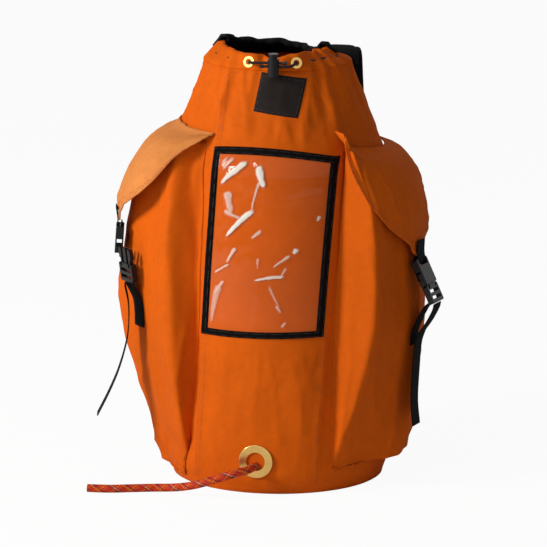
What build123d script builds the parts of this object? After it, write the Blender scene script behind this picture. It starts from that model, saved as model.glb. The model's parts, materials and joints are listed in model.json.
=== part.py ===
"""Rope storage bag: a tapered cloth rucksack with a drawcord mouth, two bellows side
pockets under buckled flaps, a clear window on the front and a brass rope port near the
floor.  Millimetres, +Z up.  The front of the bag faces -Y, the wearer's back is at +Y,
and the origin is the middle of the underside of the base panel."""

from build123d import *
from math import atan2, cos, degrees, pi, radians, sin, sqrt, tan
import os

os.makedirs("parts", exist_ok=True)

# ---------------------------------------------------------------- driving dimensions
fit_gap = 0.3            # clearance between pieces of different bodies
wall = 2.0               # doubled pack cloth
tape = 1.6               # webbing thickness

# main compartment
bag_height = 588.0
belly_half_width = 151.0
belly_half_depth = 143.0
foot_inset = 10.0        # how far the base edge is drawn in
foot_height = 22.0
shoulder_height = bag_height - 148.0  # where the taper to the mouth begins
shoulder_inset = 6.0
neck_height = bag_height - 80.0
neck_half_width = 120.0
neck_half_depth = 108.0
collar_height = bag_height - 36.0
collar_half_width = 103.0
collar_half_depth = 88.0
rim_half_width = 94.0
rim_half_depth = 77.0
rim_tape_below = 4.0     # from the wall's top edge down
rim_tape_above = 9.0     # from the hem's top up
panel_half_width = 85.0  # the front and back panels run from seam to seam
panel_x = 12.0           # the front panel's middle at half the bag's height
panel_lean = 3.8         # the packed bag twists, so the front panel leans to the right
base_thickness = 3.0

# hem, eyelets and drawcord
hem_height = 22.0
hem_out = 3.0            # how far the folded hem stands outside the wall line
hem_in = 5.0
hem_skin = 1.2
tunnel_margin = 5.0
cord_diameter = 3.6
eyelet_hole_radius = 4.0
eyelet_flange_radius = 7.5
eyelet_wall = 0.8
eyelet_flange = 1.0
left_eyelet_x = -22.0
right_eyelet_x = 41.0
cord_stand_off = 12.0    # from the hem to the free run of cord
cord_bend = 14.0
cord_end_length = 6.0
cord_spacing = 5.0       # between the two cords in the lock
cord_tip_radius = 2.4    # the crimped sleeve on each cord end
cord_tip_length = 5.0

# cord lock
lock_x = 14.0
lock_radius = 7.5
lock_top = 8.0           # above the cords
lock_bottom = 16.5       # below the cords
lock_floor = 1.5
lock_slot_clear = 0.4
button_travel = 4.0
button_radius = 5.4
button_cap_radius = 6.8
button_cap = 2.6
button_below = 3.6       # what the button has under its cord slot
spring_wire = 0.8
spring_turns = 2.5

# window, label and rope port
window_width = 167.0
window_height = 252.0
window_high = bag_height - 124.0
window_low = window_high - window_height
binding_width = 9.0
binding_height = 2.6
vinyl_thickness = 0.8
vinyl_tuck = 2.0         # how far the window sheet runs under its binding
label_x = 22.0
label_z = bag_height - 52.0
label_width = 60.0
label_height = 50.0
label_tilt = 8.0
label_thickness = 1.4
port_x = 0.0
port_z = 47.0
port_hole_radius = 12.7
port_flange_radius = 23.0
port_barrel = 1.1
port_flange = 2.0
port_washer = 1.0

# pockets: the two sides sag differently, so each has its own sizes
fold_depth = 117.0       # how far the folds stand forward and back
fold_root = 46.0         # from the fold in to where its gusset is sewn
fold_lean = 3.0
fold_radius = 6.0
left_fold_x = 122.0
right_fold_x = 156.0
left_pocket_reach = 219.0
right_pocket_reach = 201.0
left_pocket_mouth = 424.0
right_pocket_mouth = 398.0
left_pocket_foot = 14.0
right_pocket_foot = 36.0

# flaps
flap_thickness = 3.0
flap_half_width = 94.0
flap_tip_half_width = 19.0
flap_tip_y = -38.0
flap_point = 40.0        # height of the pointed end above its straight nose
flap_nose = 10.0
left_flap_tip = 346.0
right_flap_tip = 318.0
left_flap_crest = 486.0
right_flap_crest = 462.0
flap_hinge_x = 143.0
left_yoke_x = 70.0       # where each flap's front corner starts, out from the middle
right_yoke_x = 116.0
flap_half_depth = 124.0

# webbing and side-release buckles
strap_width = 25.0
tab_lap = 18.0           # webbing sewn over the flap's point
buckle_width = 33.0
buckle_thickness = 11.0
socket_wall = 1.2
socket_roof = 2.0
bar_radius = 2.0
bar_drop = 10.0          # from the flap's tip to the socket's bar
slot_height = 4.8
socket_length = 34.0     # from the bar's middle to the mouth
throat_length = 23.0
plug_length = 26.0
plug_thickness = 8.0
plug_insert = 5.6        # thickness of what goes into the throat
plug_slot = 4.5
tongue_width = 7.0
tongue_length = 21.0
arm_width = 3.2
arm_root_radius = 2.0
arm_root_x = 10.4
arm_length = 21.0
arm_pad_length = 10.0
release_travel = 30.0
left_socket_lean = 4.0
right_buckle_lean = 26.0
tab_turn = 13.0          # how far the flaps' webbing faces to the front
left_strap_turn = 43.0
left_anchor_y = -55.0
left_anchor_z = 205.0
right_anchor_z = 193.0
anchor_rise = 18.0       # webbing sewn flat to the pocket
strap_stand = 44.0       # free webbing between its seam and the plug's bar
plug_tilt = 8.0          # the free plug leans out from upright
tail_stand = 7.6         # from the middle of the plug's webbing to its tail

# carrying straps and haul loop on the back
back_pad_thickness = 8.0
back_pad_half_width = 78.0
back_pad_low = 120.0
back_pad_high = bag_height - 158.0
shoulder_x = 66.0
shoulder_width = 50.0
shoulder_thickness = 9.0
shoulder_seam_z = bag_height - 40.0
shoulder_low = 270.0
shoulder_gap = 6.0       # between the strap and the back pad
seam_lap = 26.0
seam_stand = 10.0        # how far the folded strap seam stands off the cloth
ladder_width = 33.0
ladder_length = 24.0
ladder_thickness = 5.0
ladder_bar = 4.0
lower_width = 20.0
lower_anchor_z = 62.0
lower_anchor_lap = 26.0
haul_half_width = 27.0
haul_seam_z = bag_height - 36.0
haul_drop = 74.0
haul_width = 20.0

# rope
rope_diameter = 11.0
knot_radius = 17.0
knot_flat = 2.7          # depth of the flat where the rope leaves its knot
rope_drop = 6.2          # the rope lies low in the port
rope_run = [
    (-2.0, -162.0, 41.0),
    (-22.0, -177.0, 38.0),
    (-50.0, -178.0, 28.0),
    (-78.0, -171.0, 17.0),
    (-106.0, -158.0, 9.0),
    (-136.0, -152.0, 5.7),
    (-168.0, -162.0, 5.7),
    (-198.0, -172.0, 5.7),
    (-224.0, -172.5, 5.7),
]

far = 420.0              # past every side of the bag
up = Vector(0, 0, 1)


# ---------------------------------------------------------------- shared shapes
body_sections = [
    (0.0, belly_half_width - foot_inset, belly_half_depth - foot_inset),
    (foot_height, belly_half_width - 2, belly_half_depth - 2),
    (shoulder_height * 0.2, belly_half_width, belly_half_depth),
    (shoulder_height * 0.7, belly_half_width, belly_half_depth),
    (shoulder_height, belly_half_width - shoulder_inset, belly_half_depth - shoulder_inset),
    (neck_height, neck_half_width, neck_half_depth),
    (collar_height, collar_half_width, collar_half_depth),
    (bag_height, rim_half_width, rim_half_depth),
    (bag_height + 2 * hem_height, rim_half_width - 4, rim_half_depth - 4),
]


def ellipse_loft(sections, grow=0.0):
    """A closed form through level ellipses: (height, centre x, half width, half depth)."""
    with BuildPart(mode=Mode.PRIVATE) as form:
        for height, centre, half_width, half_depth in sections:
            with BuildSketch(Plane.XY.offset(height)):
                with Locations((centre, 0)):
                    Ellipse(half_width + grow, half_depth + grow)
        loft(ruled=True)
    return form.part


def body_form(grow=0.0):
    """The outside of the bag's wall, grown or shrunk."""
    return ellipse_loft([(z, 0, a, b) for z, a, b in body_sections], grow)


def surface(form, start, direction):
    """Where a line from outside first meets a form, and the way the form faces there."""
    start = Vector(*start)
    hits = form.find_intersection_points(Axis(start, direction))
    return min(hits, key=lambda hit: (hit[0] - start).length)


def keep(low, high, tilt=0.0):
    """Cuts the part being built down to a box between two corners, leaned to the right."""
    with Locations(tuple((a + b) / 2 for a, b in zip(low, high))):
        Box(*(b - a for a, b in zip(low, high)), rotation=(0, tilt, 0), mode=Mode.INTERSECT)


def ribbon(plane, points, radius, width, thickness):
    """Adds webbing along a route drawn in a plane, centred on that plane."""
    with BuildSketch(plane) as edge:
        with BuildLine():
            FilletPolyline(*points, radius=radius)
        trace(line_width=thickness)
    extrude(edge.sketch, amount=width / 2, both=True)


def on_part(plane, x, y):
    """The point of a plane at two of its own coordinates."""
    return plane.from_local_coords(Vector(x, y, 0))


wall_outer = body_form()
with BuildPart() as wall_layer:
    add(wall_outer)
    add(body_form(-wall), mode=Mode.SUBTRACT)

# ---------------------------------------------------------------- main compartment
wall_top = bag_height - hem_height
port_point, port_facing = surface(wall_outer, (port_x, -far, port_z), (0, 1, 0))
port_plane = Plane(origin=port_point, x_dir=up.cross(port_facing), z_dir=port_facing)


def panel_middle(height):
    """How far the front panel's middle stands to the right at a height."""
    return panel_x + (height - bag_height / 2) * tan(radians(panel_lean))


with BuildPart() as front_zone:
    with Locations((panel_x, -far / 2, bag_height / 2)):
        Box(2 * panel_half_width, far, 2 * bag_height, rotation=(0, panel_lean, 0))

with BuildPart() as back_zone:
    with Locations((0, far / 2, bag_height / 2)):
        Box(2 * panel_half_width, far, 2 * bag_height)

with BuildPart() as base_panel:
    add(wall_outer)
    keep((-far, -far, 0), (far, far, base_thickness))
base_panel.part.label = "base_panel"
export_step(base_panel.part, "parts/base_panel.step")

with BuildPart() as front_panel:
    add(wall_layer.part)
    keep((-far, -far, base_thickness), (far, 0, wall_top))
    add(front_zone.part, mode=Mode.INTERSECT)
    with BuildSketch(port_plane.offset(2 * wall)):
        Circle(port_hole_radius + port_barrel + fit_gap)
    extrude(amount=-6 * wall, mode=Mode.SUBTRACT)
front_panel.part.label = "front_panel"
export_step(front_panel.part, "parts/front_panel.step")

with BuildPart() as back_panel:
    add(wall_layer.part)
    add(back_zone.part, mode=Mode.INTERSECT)
    keep((-far, 0, base_thickness), (far, far, wall_top))
back_panel.part.label = "back_panel"
export_step(back_panel.part, "parts/back_panel.step")

with BuildPart() as left_side_panel:
    add(wall_layer.part)
    keep((-far, -far, base_thickness), (0, far, wall_top))
    add(front_zone.part, mode=Mode.SUBTRACT)
    add(back_zone.part, mode=Mode.SUBTRACT)
left_side_panel.part.label = "left_side_panel"
export_step(left_side_panel.part, "parts/left_side_panel.step")

with BuildPart() as right_side_panel:
    add(wall_layer.part)
    keep((0, -far, base_thickness), (far, far, wall_top))
    add(front_zone.part, mode=Mode.SUBTRACT)
    add(back_zone.part, mode=Mode.SUBTRACT)
right_side_panel.part.label = "right_side_panel"
export_step(right_side_panel.part, "parts/right_side_panel.step")

# ---------------------------------------------------------------- hem, eyelets, drawcord
cord_z = bag_height - hem_height / 2
hem_outer = body_form(hem_out)
cord_half_width = surface(hem_outer, (far, 0, cord_z), (-1, 0, 0))[0].X - (hem_out + hem_in) / 2
cord_half_depth = surface(hem_outer, (0, far, cord_z), (0, -1, 0))[0].Y - (hem_out + hem_in) / 2
hem_inner = body_form(-hem_in)
tunnel_outer = body_form(hem_out - hem_skin)
tunnel_inner = body_form(hem_skin - hem_in)


def hem_face_y(x):
    """Where the outside of the hem stands at cord height, at a distance x from the middle."""
    return surface(hem_outer, (x, -far, cord_z), (0, 1, 0))[0].Y


def eyelet_plane(x):
    """The plane through the hem's outer face at an eyelet, facing out of the bag."""
    point, facing = surface(hem_outer, (x, -far, cord_z), (0, 1, 0))
    return Plane(origin=point, x_dir=up.cross(facing), z_dir=facing)


eyelet_xs = (left_eyelet_x, right_eyelet_x)

with BuildPart() as hem_tunnel:
    add(tunnel_outer)
    add(tunnel_inner, mode=Mode.SUBTRACT)
    keep((-far, -far, wall_top + tunnel_margin), (far, far, bag_height - tunnel_margin))

with BuildPart() as cord_hem:
    add(hem_outer)
    add(hem_inner, mode=Mode.SUBTRACT)
    keep((-far, -far, wall_top), (far, far, bag_height))
    add(hem_tunnel.part, mode=Mode.SUBTRACT)
    for x in eyelet_xs:
        with BuildSketch(eyelet_plane(x).offset(2 * hem_skin)):
            Circle(eyelet_hole_radius + eyelet_wall + fit_gap)
        extrude(amount=-4.5 * hem_skin, mode=Mode.SUBTRACT)
cord_hem.part.label = "cord_hem"
export_step(cord_hem.part, "parts/cord_hem.step")

with BuildPart() as cord_eyelets:
    for x in eyelet_xs:
        with BuildSketch(eyelet_plane(x).offset(fit_gap)):
            Circle(eyelet_flange_radius)
            Circle(eyelet_hole_radius, mode=Mode.SUBTRACT)
        extrude(amount=eyelet_flange)
        with BuildSketch(eyelet_plane(x).offset(fit_gap)):
            Circle(eyelet_hole_radius + eyelet_wall)
            Circle(eyelet_hole_radius, mode=Mode.SUBTRACT)
        extrude(amount=-(hem_skin + fit_gap))
cord_eyelets.part.label = "cord_eyelets"
export_step(cord_eyelets.part, "parts/cord_eyelets.step")

free_y = hem_face_y(0) - cord_stand_off
cord_level = cord_spacing / 2
left_cord_end = lock_x + lock_radius + cord_end_length
right_cord_end = lock_x - lock_radius - cord_end_length


def drawcord_route(eyelet_x, end_x, level):
    """One free end of the drawcord: out of its eyelet, then level through the cord lock."""
    side = 1 if end_x > eyelet_x else -1
    return [
        (eyelet_x, hem_face_y(eyelet_x) + hem_out, cord_z),
        (eyelet_x + side, free_y + 1, cord_z + level * 0.5),
        (eyelet_x + side * cord_bend, free_y, cord_z + level),
        (end_x, free_y, cord_z + level),
    ]


with BuildPart() as drawcord_free_ends:
    for eyelet_x, end_x, level in (
        (left_eyelet_x, left_cord_end, cord_level),
        (right_eyelet_x, right_cord_end, -cord_level),
    ):
        with BuildLine() as route:
            FilletPolyline(*drawcord_route(eyelet_x, end_x, level), radius=(4.5, 5.0))
        with BuildSketch(Plane(origin=route.line @ 0, z_dir=route.line % 0)):
            Circle(cord_diameter / 2)
        sweep(path=route.line)
        with BuildSketch(Plane(origin=route.line @ 1, z_dir=route.line % 1)):
            Circle(cord_tip_radius)
        extrude(amount=cord_tip_length)
drawcord_free_ends.part.label = "drawcord_free_ends"
export_step(drawcord_free_ends.part, "parts/drawcord_free_ends.step")


def cord_angle(x):
    """The angle round the mouth at which the hidden drawcord stands at a distance x."""
    return degrees(atan2(-sqrt(1 - (x / cord_half_width) ** 2), x / cord_half_width))


with BuildPart() as drawcord_in_hem:
    start = cord_angle(right_eyelet_x) + 3.0
    arc = 360 + cord_angle(left_eyelet_x) - 3.0 - start
    with BuildLine(Plane.XY.offset(cord_z)) as ring:
        EllipticalCenterArc((0, 0), cord_half_width, cord_half_depth, start, arc_size=arc)
    with BuildSketch(Plane(origin=ring.line @ 0, z_dir=ring.line % 0)):
        Circle(cord_diameter / 2)
    sweep(path=ring.line)
drawcord_in_hem.part.label = "drawcord_in_hem"
export_step(drawcord_in_hem.part, "parts/drawcord_in_hem.step")

# ---------------------------------------------------------------- cord lock
lock_plane = Plane(origin=(lock_x, free_y, cord_z))
lock_side_plane = Plane(origin=(lock_x, free_y, cord_z), x_dir=(0, 1, 0), z_dir=(1, 0, 0))
cord_reach = cord_spacing / 2 + cord_diameter / 2 + lock_slot_clear
button_bottom = cord_reach + button_below
cap_level = lock_top + button_travel + 0.4

with BuildPart() as cord_lock_body:
    with BuildSketch(lock_plane.offset(-lock_bottom)):
        Circle(lock_radius)
    extrude(amount=lock_bottom + lock_top)
    fillet(cord_lock_body.edges().group_by(Axis.Z)[0], 1.2)
    with BuildSketch(lock_plane.offset(lock_floor - lock_bottom)):
        Circle(button_radius + fit_gap)
    extrude(amount=lock_bottom + lock_top, mode=Mode.SUBTRACT)
    with BuildSketch(lock_side_plane):
        Rectangle(cord_diameter + 2 * lock_slot_clear, 2 * cord_reach)
    extrude(amount=2 * lock_radius, both=True, mode=Mode.SUBTRACT)
cord_lock_body.part.label = "cord_lock_body"
export_step(cord_lock_body.part, "parts/cord_lock_body.step")

with BuildPart() as cord_lock_button:
    with BuildSketch(lock_plane.offset(-button_bottom)):
        Circle(button_radius)
    extrude(amount=button_bottom + cap_level)
    with BuildSketch(lock_plane.offset(cap_level)):
        Circle(button_cap_radius)
    extrude(amount=button_cap)
    fillet(cord_lock_button.edges().group_by(Axis.Z)[-1], 1.0)
    with BuildSketch(lock_side_plane):
        with Locations((0, button_travel / 2)):
            Rectangle(cord_diameter + 2 * lock_slot_clear, 2 * cord_reach + button_travel)
    extrude(amount=2 * lock_radius, both=True, mode=Mode.SUBTRACT)
cord_lock_button.part.label = "cord_lock_button"
export_step(cord_lock_button.part, "parts/cord_lock_button.step")

spring_room = lock_bottom - lock_floor - button_bottom
spring_rise = spring_room - spring_wire - 2 * fit_gap
with BuildPart() as cord_lock_spring:
    with BuildLine() as turns:
        Helix(
            pitch=spring_rise / spring_turns,
            height=spring_rise,
            radius=button_radius - 1.4,
            center=(lock_x, free_y, cord_z - lock_bottom + lock_floor + spring_wire / 2 + fit_gap),
        )
    with BuildSketch(Plane(origin=turns.line @ 0, z_dir=turns.line % 0)):
        Circle(spring_wire / 2)
    sweep(path=turns.line, is_frenet=True)
cord_lock_spring.part.label = "cord_lock_spring"
export_step(cord_lock_spring.part, "parts/cord_lock_spring.step")

# ---------------------------------------------------------------- back rim webbing
rim_tape_outer = body_form(-hem_in)
rim_tape_inner = body_form(-hem_in - tape)
with BuildPart() as back_rim_webbing:
    add(rim_tape_outer)
    add(rim_tape_inner, mode=Mode.SUBTRACT)
    keep((-far, -rim_half_depth * 0.2, wall_top - rim_tape_below), (far, far, bag_height + rim_tape_above))
back_rim_webbing.part.label = "back_rim_webbing"
export_step(back_rim_webbing.part, "parts/back_rim_webbing.step")

# ---------------------------------------------------------------- window, label, rope port
sheet_outer = body_form(vinyl_thickness)
binding_outer = body_form(binding_height)
label_outer = body_form(label_thickness)


window_x = panel_middle((window_low + window_high) / 2)


def on_front(x, low, high, width, margin):
    """Opposite corners of a box round a patch on the bag's front."""
    return (
        (x - width / 2 + margin, -far, low + margin),
        (x + width / 2 - margin, 0, high - margin),
    )


with BuildPart() as window_vinyl:
    add(sheet_outer)
    add(wall_outer, mode=Mode.SUBTRACT)
    keep(*on_front(window_x, window_low, window_high, window_width, binding_width - vinyl_tuck), panel_lean)
window_vinyl.part.label = "window_vinyl"
export_step(window_vinyl.part, "parts/window_vinyl.step")

with BuildPart() as window_opening:
    add(binding_outer)
    keep(*on_front(window_x, window_low, window_high, window_width, binding_width), panel_lean)

with BuildPart() as window_binding:
    add(binding_outer)
    add(wall_outer, mode=Mode.SUBTRACT)
    keep(*on_front(window_x, window_low, window_high, window_width, 0), panel_lean)
    add(window_opening.part, mode=Mode.SUBTRACT)
    add(window_vinyl.part, mode=Mode.SUBTRACT)
window_binding.part.label = "window_binding"
export_step(window_binding.part, "parts/window_binding.step")

with BuildPart() as label_patch:
    add(label_outer)
    add(wall_outer, mode=Mode.SUBTRACT)
    keep(
        *on_front(label_x, label_z - label_height / 2, label_z + label_height / 2, label_width, 0),
        label_tilt,
    )
label_patch.part.label = "label_patch"
export_step(label_patch.part, "parts/label_patch.step")

port_face = port_plane.offset(fit_gap)
with BuildPart() as rope_grommet:
    with BuildSketch(port_face):
        Circle(port_flange_radius)
    extrude(amount=port_flange)
    fillet(rope_grommet.edges().group_by(Axis.Y)[0], port_flange * 0.45)
    with BuildSketch(port_face):
        Circle(port_hole_radius + port_barrel)
    extrude(amount=-(fit_gap + 2 * wall + port_washer))
    with BuildSketch(port_face.offset(port_flange)):
        Circle(port_hole_radius)
    extrude(amount=-(4 * wall + port_flange), mode=Mode.SUBTRACT)
rope_grommet.part.label = "rope_grommet"
export_step(rope_grommet.part, "parts/rope_grommet.step")

with BuildPart() as rope_grommet_washer:
    with BuildSketch(port_face.offset(-(fit_gap + 2 * wall))):
        Circle(port_flange_radius - 3)
        Circle(port_hole_radius + port_barrel, mode=Mode.SUBTRACT)
    extrude(amount=-port_washer)
rope_grommet_washer.part.label = "rope_grommet_washer"
export_step(rope_grommet_washer.part, "parts/rope_grommet_washer.step")

# ---------------------------------------------------------------- pockets
# Each pocket is a bellows of cloth on the bag's side, folded along its front and back
# edges: (height, reach, the fold's distance out, the fold's depth, half its outer face).
left_pocket_shape = [
    (left_pocket_foot, left_pocket_reach - 62, left_fold_x - 22, fold_depth - 25, 30),
    (62, left_pocket_reach - 48, left_fold_x - 14, fold_depth - 13, 26),
    (110, left_pocket_reach - 32, left_fold_x - 10, fold_depth - 7, 22),
    (180, left_pocket_reach - 11, left_fold_x - 4, fold_depth - 2, 18),
    (250, left_pocket_reach, left_fold_x, fold_depth, 16),
    (345, left_pocket_reach - 13, left_fold_x + 4, fold_depth - 2, 20),
    (left_pocket_mouth, left_pocket_reach - 29, left_fold_x + 2, fold_depth - 13, 24),
]
right_pocket_shape = [
    (right_pocket_foot, right_pocket_reach - 25, right_fold_x - 60, fold_depth - 9, 30),
    (66, right_pocket_reach - 18, right_fold_x - 48, fold_depth - 7, 26),
    (110, right_pocket_reach - 13, right_fold_x - 28, fold_depth - 4, 24),
    (166, right_pocket_reach - 7, right_fold_x - 14, fold_depth - 2, 22),
    (235, right_pocket_reach, right_fold_x, fold_depth - 2, 20),
    (320, right_pocket_reach - 6, right_fold_x + 3, fold_depth - 3, 22),
    (right_pocket_mouth, right_pocket_reach - 17, right_fold_x - 2, fold_depth - 9, 26),
]


def pocket_form(side, shape, inset):
    """A pocket's outside, or when inset its inside, raised off its floor."""
    lifts = [inset] + [0] * (len(shape) - 2) + [2 * inset]
    with BuildPart(mode=Mode.PRIVATE) as form:
        for (height, reach, fold_x, depth, face), lift in zip(shape, lifts):
            root = fold_x - fold_root
            corners = [
                (side * root, fold_lean - depth),
                (side * fold_x, -depth),
                (side * reach, -face),
                (side * reach, face),
                (side * fold_x, depth),
                (side * root, depth - fold_lean),
            ]
            with BuildSketch(Plane.XY.offset(height + lift)) as outline:
                with BuildLine():
                    Polyline(*corners, close=True)
                make_face()
                fillet(outline.vertices(), fold_radius)
                if inset:
                    offset(amount=-inset, mode=Mode.REPLACE)
        loft(ruled=True)
    return form.part


left_pocket_outer = pocket_form(-1, left_pocket_shape, 0)
left_pocket_inner = pocket_form(-1, left_pocket_shape, wall)
right_pocket_outer = pocket_form(1, right_pocket_shape, 0)
right_pocket_inner = pocket_form(1, right_pocket_shape, wall)

with BuildPart() as left_pocket:
    add(left_pocket_outer)
    add(left_pocket_inner, mode=Mode.SUBTRACT)
    add(wall_outer, mode=Mode.SUBTRACT)
left_pocket.part.label = "left_pocket"
export_step(left_pocket.part, "parts/left_pocket.step")

with BuildPart() as right_pocket:
    add(right_pocket_outer)
    add(right_pocket_inner, mode=Mode.SUBTRACT)
    add(wall_outer, mode=Mode.SUBTRACT)
right_pocket.part.label = "right_pocket"
export_step(right_pocket.part, "parts/right_pocket.step")

# ---------------------------------------------------------------- flaps
# A flap is a hood over its pocket: (drop from the crest, centre x, reach, half depth).
left_hood = [
    (0, 55, belly_half_width - 18, flap_half_depth - 26),
    (8, 70, belly_half_width - 7, flap_half_depth - 20),
    (20, 90, left_pocket_reach - 55, flap_half_depth - 14),
    (40, 105, left_pocket_reach - 34, flap_half_depth - 8),
    (66, 112, left_pocket_reach - 17, flap_half_depth - 4),
    (106, 118, left_pocket_reach - 3, flap_half_depth),
    (150, 118, left_pocket_reach - 5, flap_half_depth),
]
right_hood = [
    (0, 55, belly_half_width - 17, flap_half_depth - 26),
    (7, 70, belly_half_width - 8, flap_half_depth - 20),
    (17, 90, right_pocket_reach - 40, flap_half_depth - 14),
    (31, 105, right_pocket_reach - 24, flap_half_depth - 8),
    (52, 112, right_pocket_reach - 11, flap_half_depth - 4),
    (90, 118, right_pocket_reach - 1, flap_half_depth),
    (154, 118, right_pocket_reach + 5, flap_half_depth),
]


def hood_form(side, crest, shape, inset):
    """The hood that a flap is cut from, or its lining when inset."""
    return ellipse_loft(
        [
            (crest - drop - inset, side * centre, reach - centre - inset, depth - inset)
            for drop, centre, reach, depth in shape
        ]
    )


def shield(crest, tip):
    """Cuts the part being built to a flap's outline, seen from the side."""
    knee = tip + flap_point
    nose = tip + flap_nose
    with BuildSketch(Plane.YZ.offset(-far)) as outline:
        with BuildLine():
            Polyline(
                (-flap_half_width, crest + 9),
                (flap_half_width, crest + 9),
                (flap_half_width, knee),
                (flap_tip_y + flap_tip_half_width, nose),
                (flap_tip_y + flap_tip_half_width, tip),
                (flap_tip_y - flap_tip_half_width, tip),
                (flap_tip_y - flap_tip_half_width, nose),
                (-flap_half_width, knee),
                close=True,
            )
        make_face()
    extrude(outline.sketch, amount=2 * far, mode=Mode.INTERSECT)


def beyond(side, x_low, x_high):
    """Keeps what of the part being built lies between two distances from the middle."""
    edges = sorted((side * x_low, side * x_high))
    keep((edges[0], -far, -far), (edges[1], far, 2 * far))


hoods = {
    "left": hood_form(-1, left_flap_crest, left_hood, 0),
    "right": hood_form(1, right_flap_crest, right_hood, 0),
}

for name, side, crest, tip, shape, yoke_x in (
    ("left", -1, left_flap_crest, left_flap_tip, left_hood, left_yoke_x),
    ("right", 1, right_flap_crest, right_flap_tip, right_hood, right_yoke_x),
):
    hood = hoods[name]
    lining = hood_form(side, crest, shape, flap_thickness)

    with BuildPart() as flap_yoke:
        add(hood)
        add(lining, mode=Mode.SUBTRACT)
        shield(crest, tip)
        beyond(side, yoke_x, flap_hinge_x - fit_gap)
        add(wall_outer, mode=Mode.SUBTRACT)
    flap_yoke.part.label = f"{name}_flap_yoke"
    export_step(flap_yoke.part, f"parts/{name}_flap_yoke.step")

    with BuildPart() as flap:
        add(hood)
        add(lining, mode=Mode.SUBTRACT)
        shield(crest, tip)
        beyond(side, flap_hinge_x + fit_gap, far)
        add(wall_outer, mode=Mode.SUBTRACT)
    flap.part.label = f"{name}_flap"
    export_step(flap.part, f"parts/{name}_flap.step")

# ---------------------------------------------------------------- buckle frames
def strap_plane(side, turn, origin):
    """A plane that a strap's route is drawn in: x out from the bag, y up."""
    out = Vector(side * cos(radians(turn)), -sin(radians(turn)), 0)
    return Plane(origin=origin, x_dir=out, z_dir=out.cross(up))


def buckle_plane(strap, x, y, lean):
    """A buckle's face: x across it, y along it to its lower end, z out of its front."""
    out = strap.x_dir
    front = out * cos(radians(lean)) + up * sin(radians(lean))
    return Plane(origin=on_part(strap, x, y), x_dir=strap.z_dir, z_dir=front)


def flap_point_at(name, side, height):
    """Where the outside of a flap stands in line with its tab, at a height."""
    return surface(hoods[name], (side * far, flap_tip_y, height), (-side, 0, 0))[0]


left_tip = flap_point_at("left", -1, left_flap_tip + 0.1)
right_tip = flap_point_at("right", 1, right_flap_tip + 0.1)
left_tab_plane = strap_plane(-1, tab_turn, left_tip)
right_tab_plane = strap_plane(1, tab_turn, right_tip)
bar_x = -0.5
loop_radius = bar_radius + tape / 2 + 0.5
left_socket_face = buckle_plane(left_tab_plane, bar_x, -bar_drop, left_socket_lean)
right_socket_face = buckle_plane(right_tab_plane, bar_x, -bar_drop, right_buckle_lean)

# ---------------------------------------------------------------- flap tabs and sockets
for name, side, tab_plane, tip in (
    ("left", -1, left_tab_plane, left_flap_tip),
    ("right", 1, right_tab_plane, right_flap_tip),
):
    top = tab_plane.to_local_coords(flap_point_at(name, side, tip + tab_lap))
    lie = tape / 2 + fit_gap
    loop_out = bar_x + loop_radius
    loop_in = bar_x - loop_radius
    loop_low = -bar_drop - loop_radius
    with BuildPart() as flap_tab:
        ribbon(
            tab_plane,
            [
                (max(top.X, 0) + lie, tab_lap),
                (max(top.X, 0) / 4 + lie, 3),
                (loop_out, -5),
                (loop_out, loop_low),
                (loop_in, loop_low),
                (loop_in, -5.5),
                (-flap_thickness / 2, -0.5),
            ],
            (6, 4, loop_radius - 0.05, loop_radius - 0.05, 2),
            strap_width,
            tape,
        )
    flap_tab.part.label = f"{name}_flap_tab"
    export_step(flap_tab.part, f"parts/{name}_flap_tab.step")

for name, face in (("left", left_socket_face), ("right", right_socket_face)):
    slot_low = bar_radius + slot_height
    throat_half_width = buckle_width / 2 - socket_wall
    throat_half_depth = buckle_thickness / 2 - socket_roof
    with BuildPart() as buckle_socket:
        with BuildSketch(face):
            with Locations((0, (socket_length - bar_radius - 1) / 2)):
                RectangleRounded(buckle_width, socket_length + bar_radius + 1, 3)
        extrude(amount=buckle_thickness / 2, both=True)
        fillet(buckle_socket.edges().filter_by(Axis(face.origin, face.z_dir), reverse=True), 1.2)
        with BuildSketch(face):
            with Locations((0, (slot_low - 2 * bar_radius - 2) / 2)):
                Rectangle(strap_width + 1, slot_low + 2 * bar_radius + 2)
        extrude(amount=buckle_thickness, both=True, mode=Mode.SUBTRACT)
        with BuildSketch(face):
            with Locations((0, socket_length - throat_length / 2)):
                Rectangle(2 * throat_half_width, throat_length)
        extrude(amount=throat_half_depth, both=True, mode=Mode.SUBTRACT)
        with BuildSketch(face):
            with Locations((0, socket_length - 0.6 * throat_length)):
                Rectangle(buckle_width * 2, arm_pad_length + 2)
        extrude(amount=throat_half_depth, both=True, mode=Mode.SUBTRACT)
        with BuildSketch(Plane(origin=face.origin, x_dir=face.y_dir, z_dir=face.x_dir)):
            Circle(bar_radius)
        extrude(amount=strap_width / 2 + 1.5, both=True)
    buckle_socket.part.label = f"{name}_buckle_socket"
    export_step(buckle_socket.part, f"parts/{name}_buckle_socket.step")

# ---------------------------------------------------------------- plugs and their prongs
plug_start = socket_length + fit_gap
plug_end = plug_start + plug_length
root_y = plug_start + arm_root_radius + 1.2

left_pocket_hit, left_pocket_facing = surface(
    left_pocket_outer, (-far, left_anchor_y, left_anchor_z), (1, 0, 0)
)
left_strap_plane = strap_plane(-1, left_strap_turn, left_pocket_hit)
strap_lie = tape / 2 + 2.0
plug_foot = (strap_lie + 15, anchor_rise + strap_stand)
left_lean = radians(-plug_tilt)
left_plug_face = buckle_plane(
    left_strap_plane,
    plug_foot[0] - sin(left_lean) * (plug_end + 1),
    plug_foot[1] + cos(left_lean) * (plug_end + 1),
    -plug_tilt,
)


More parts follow.
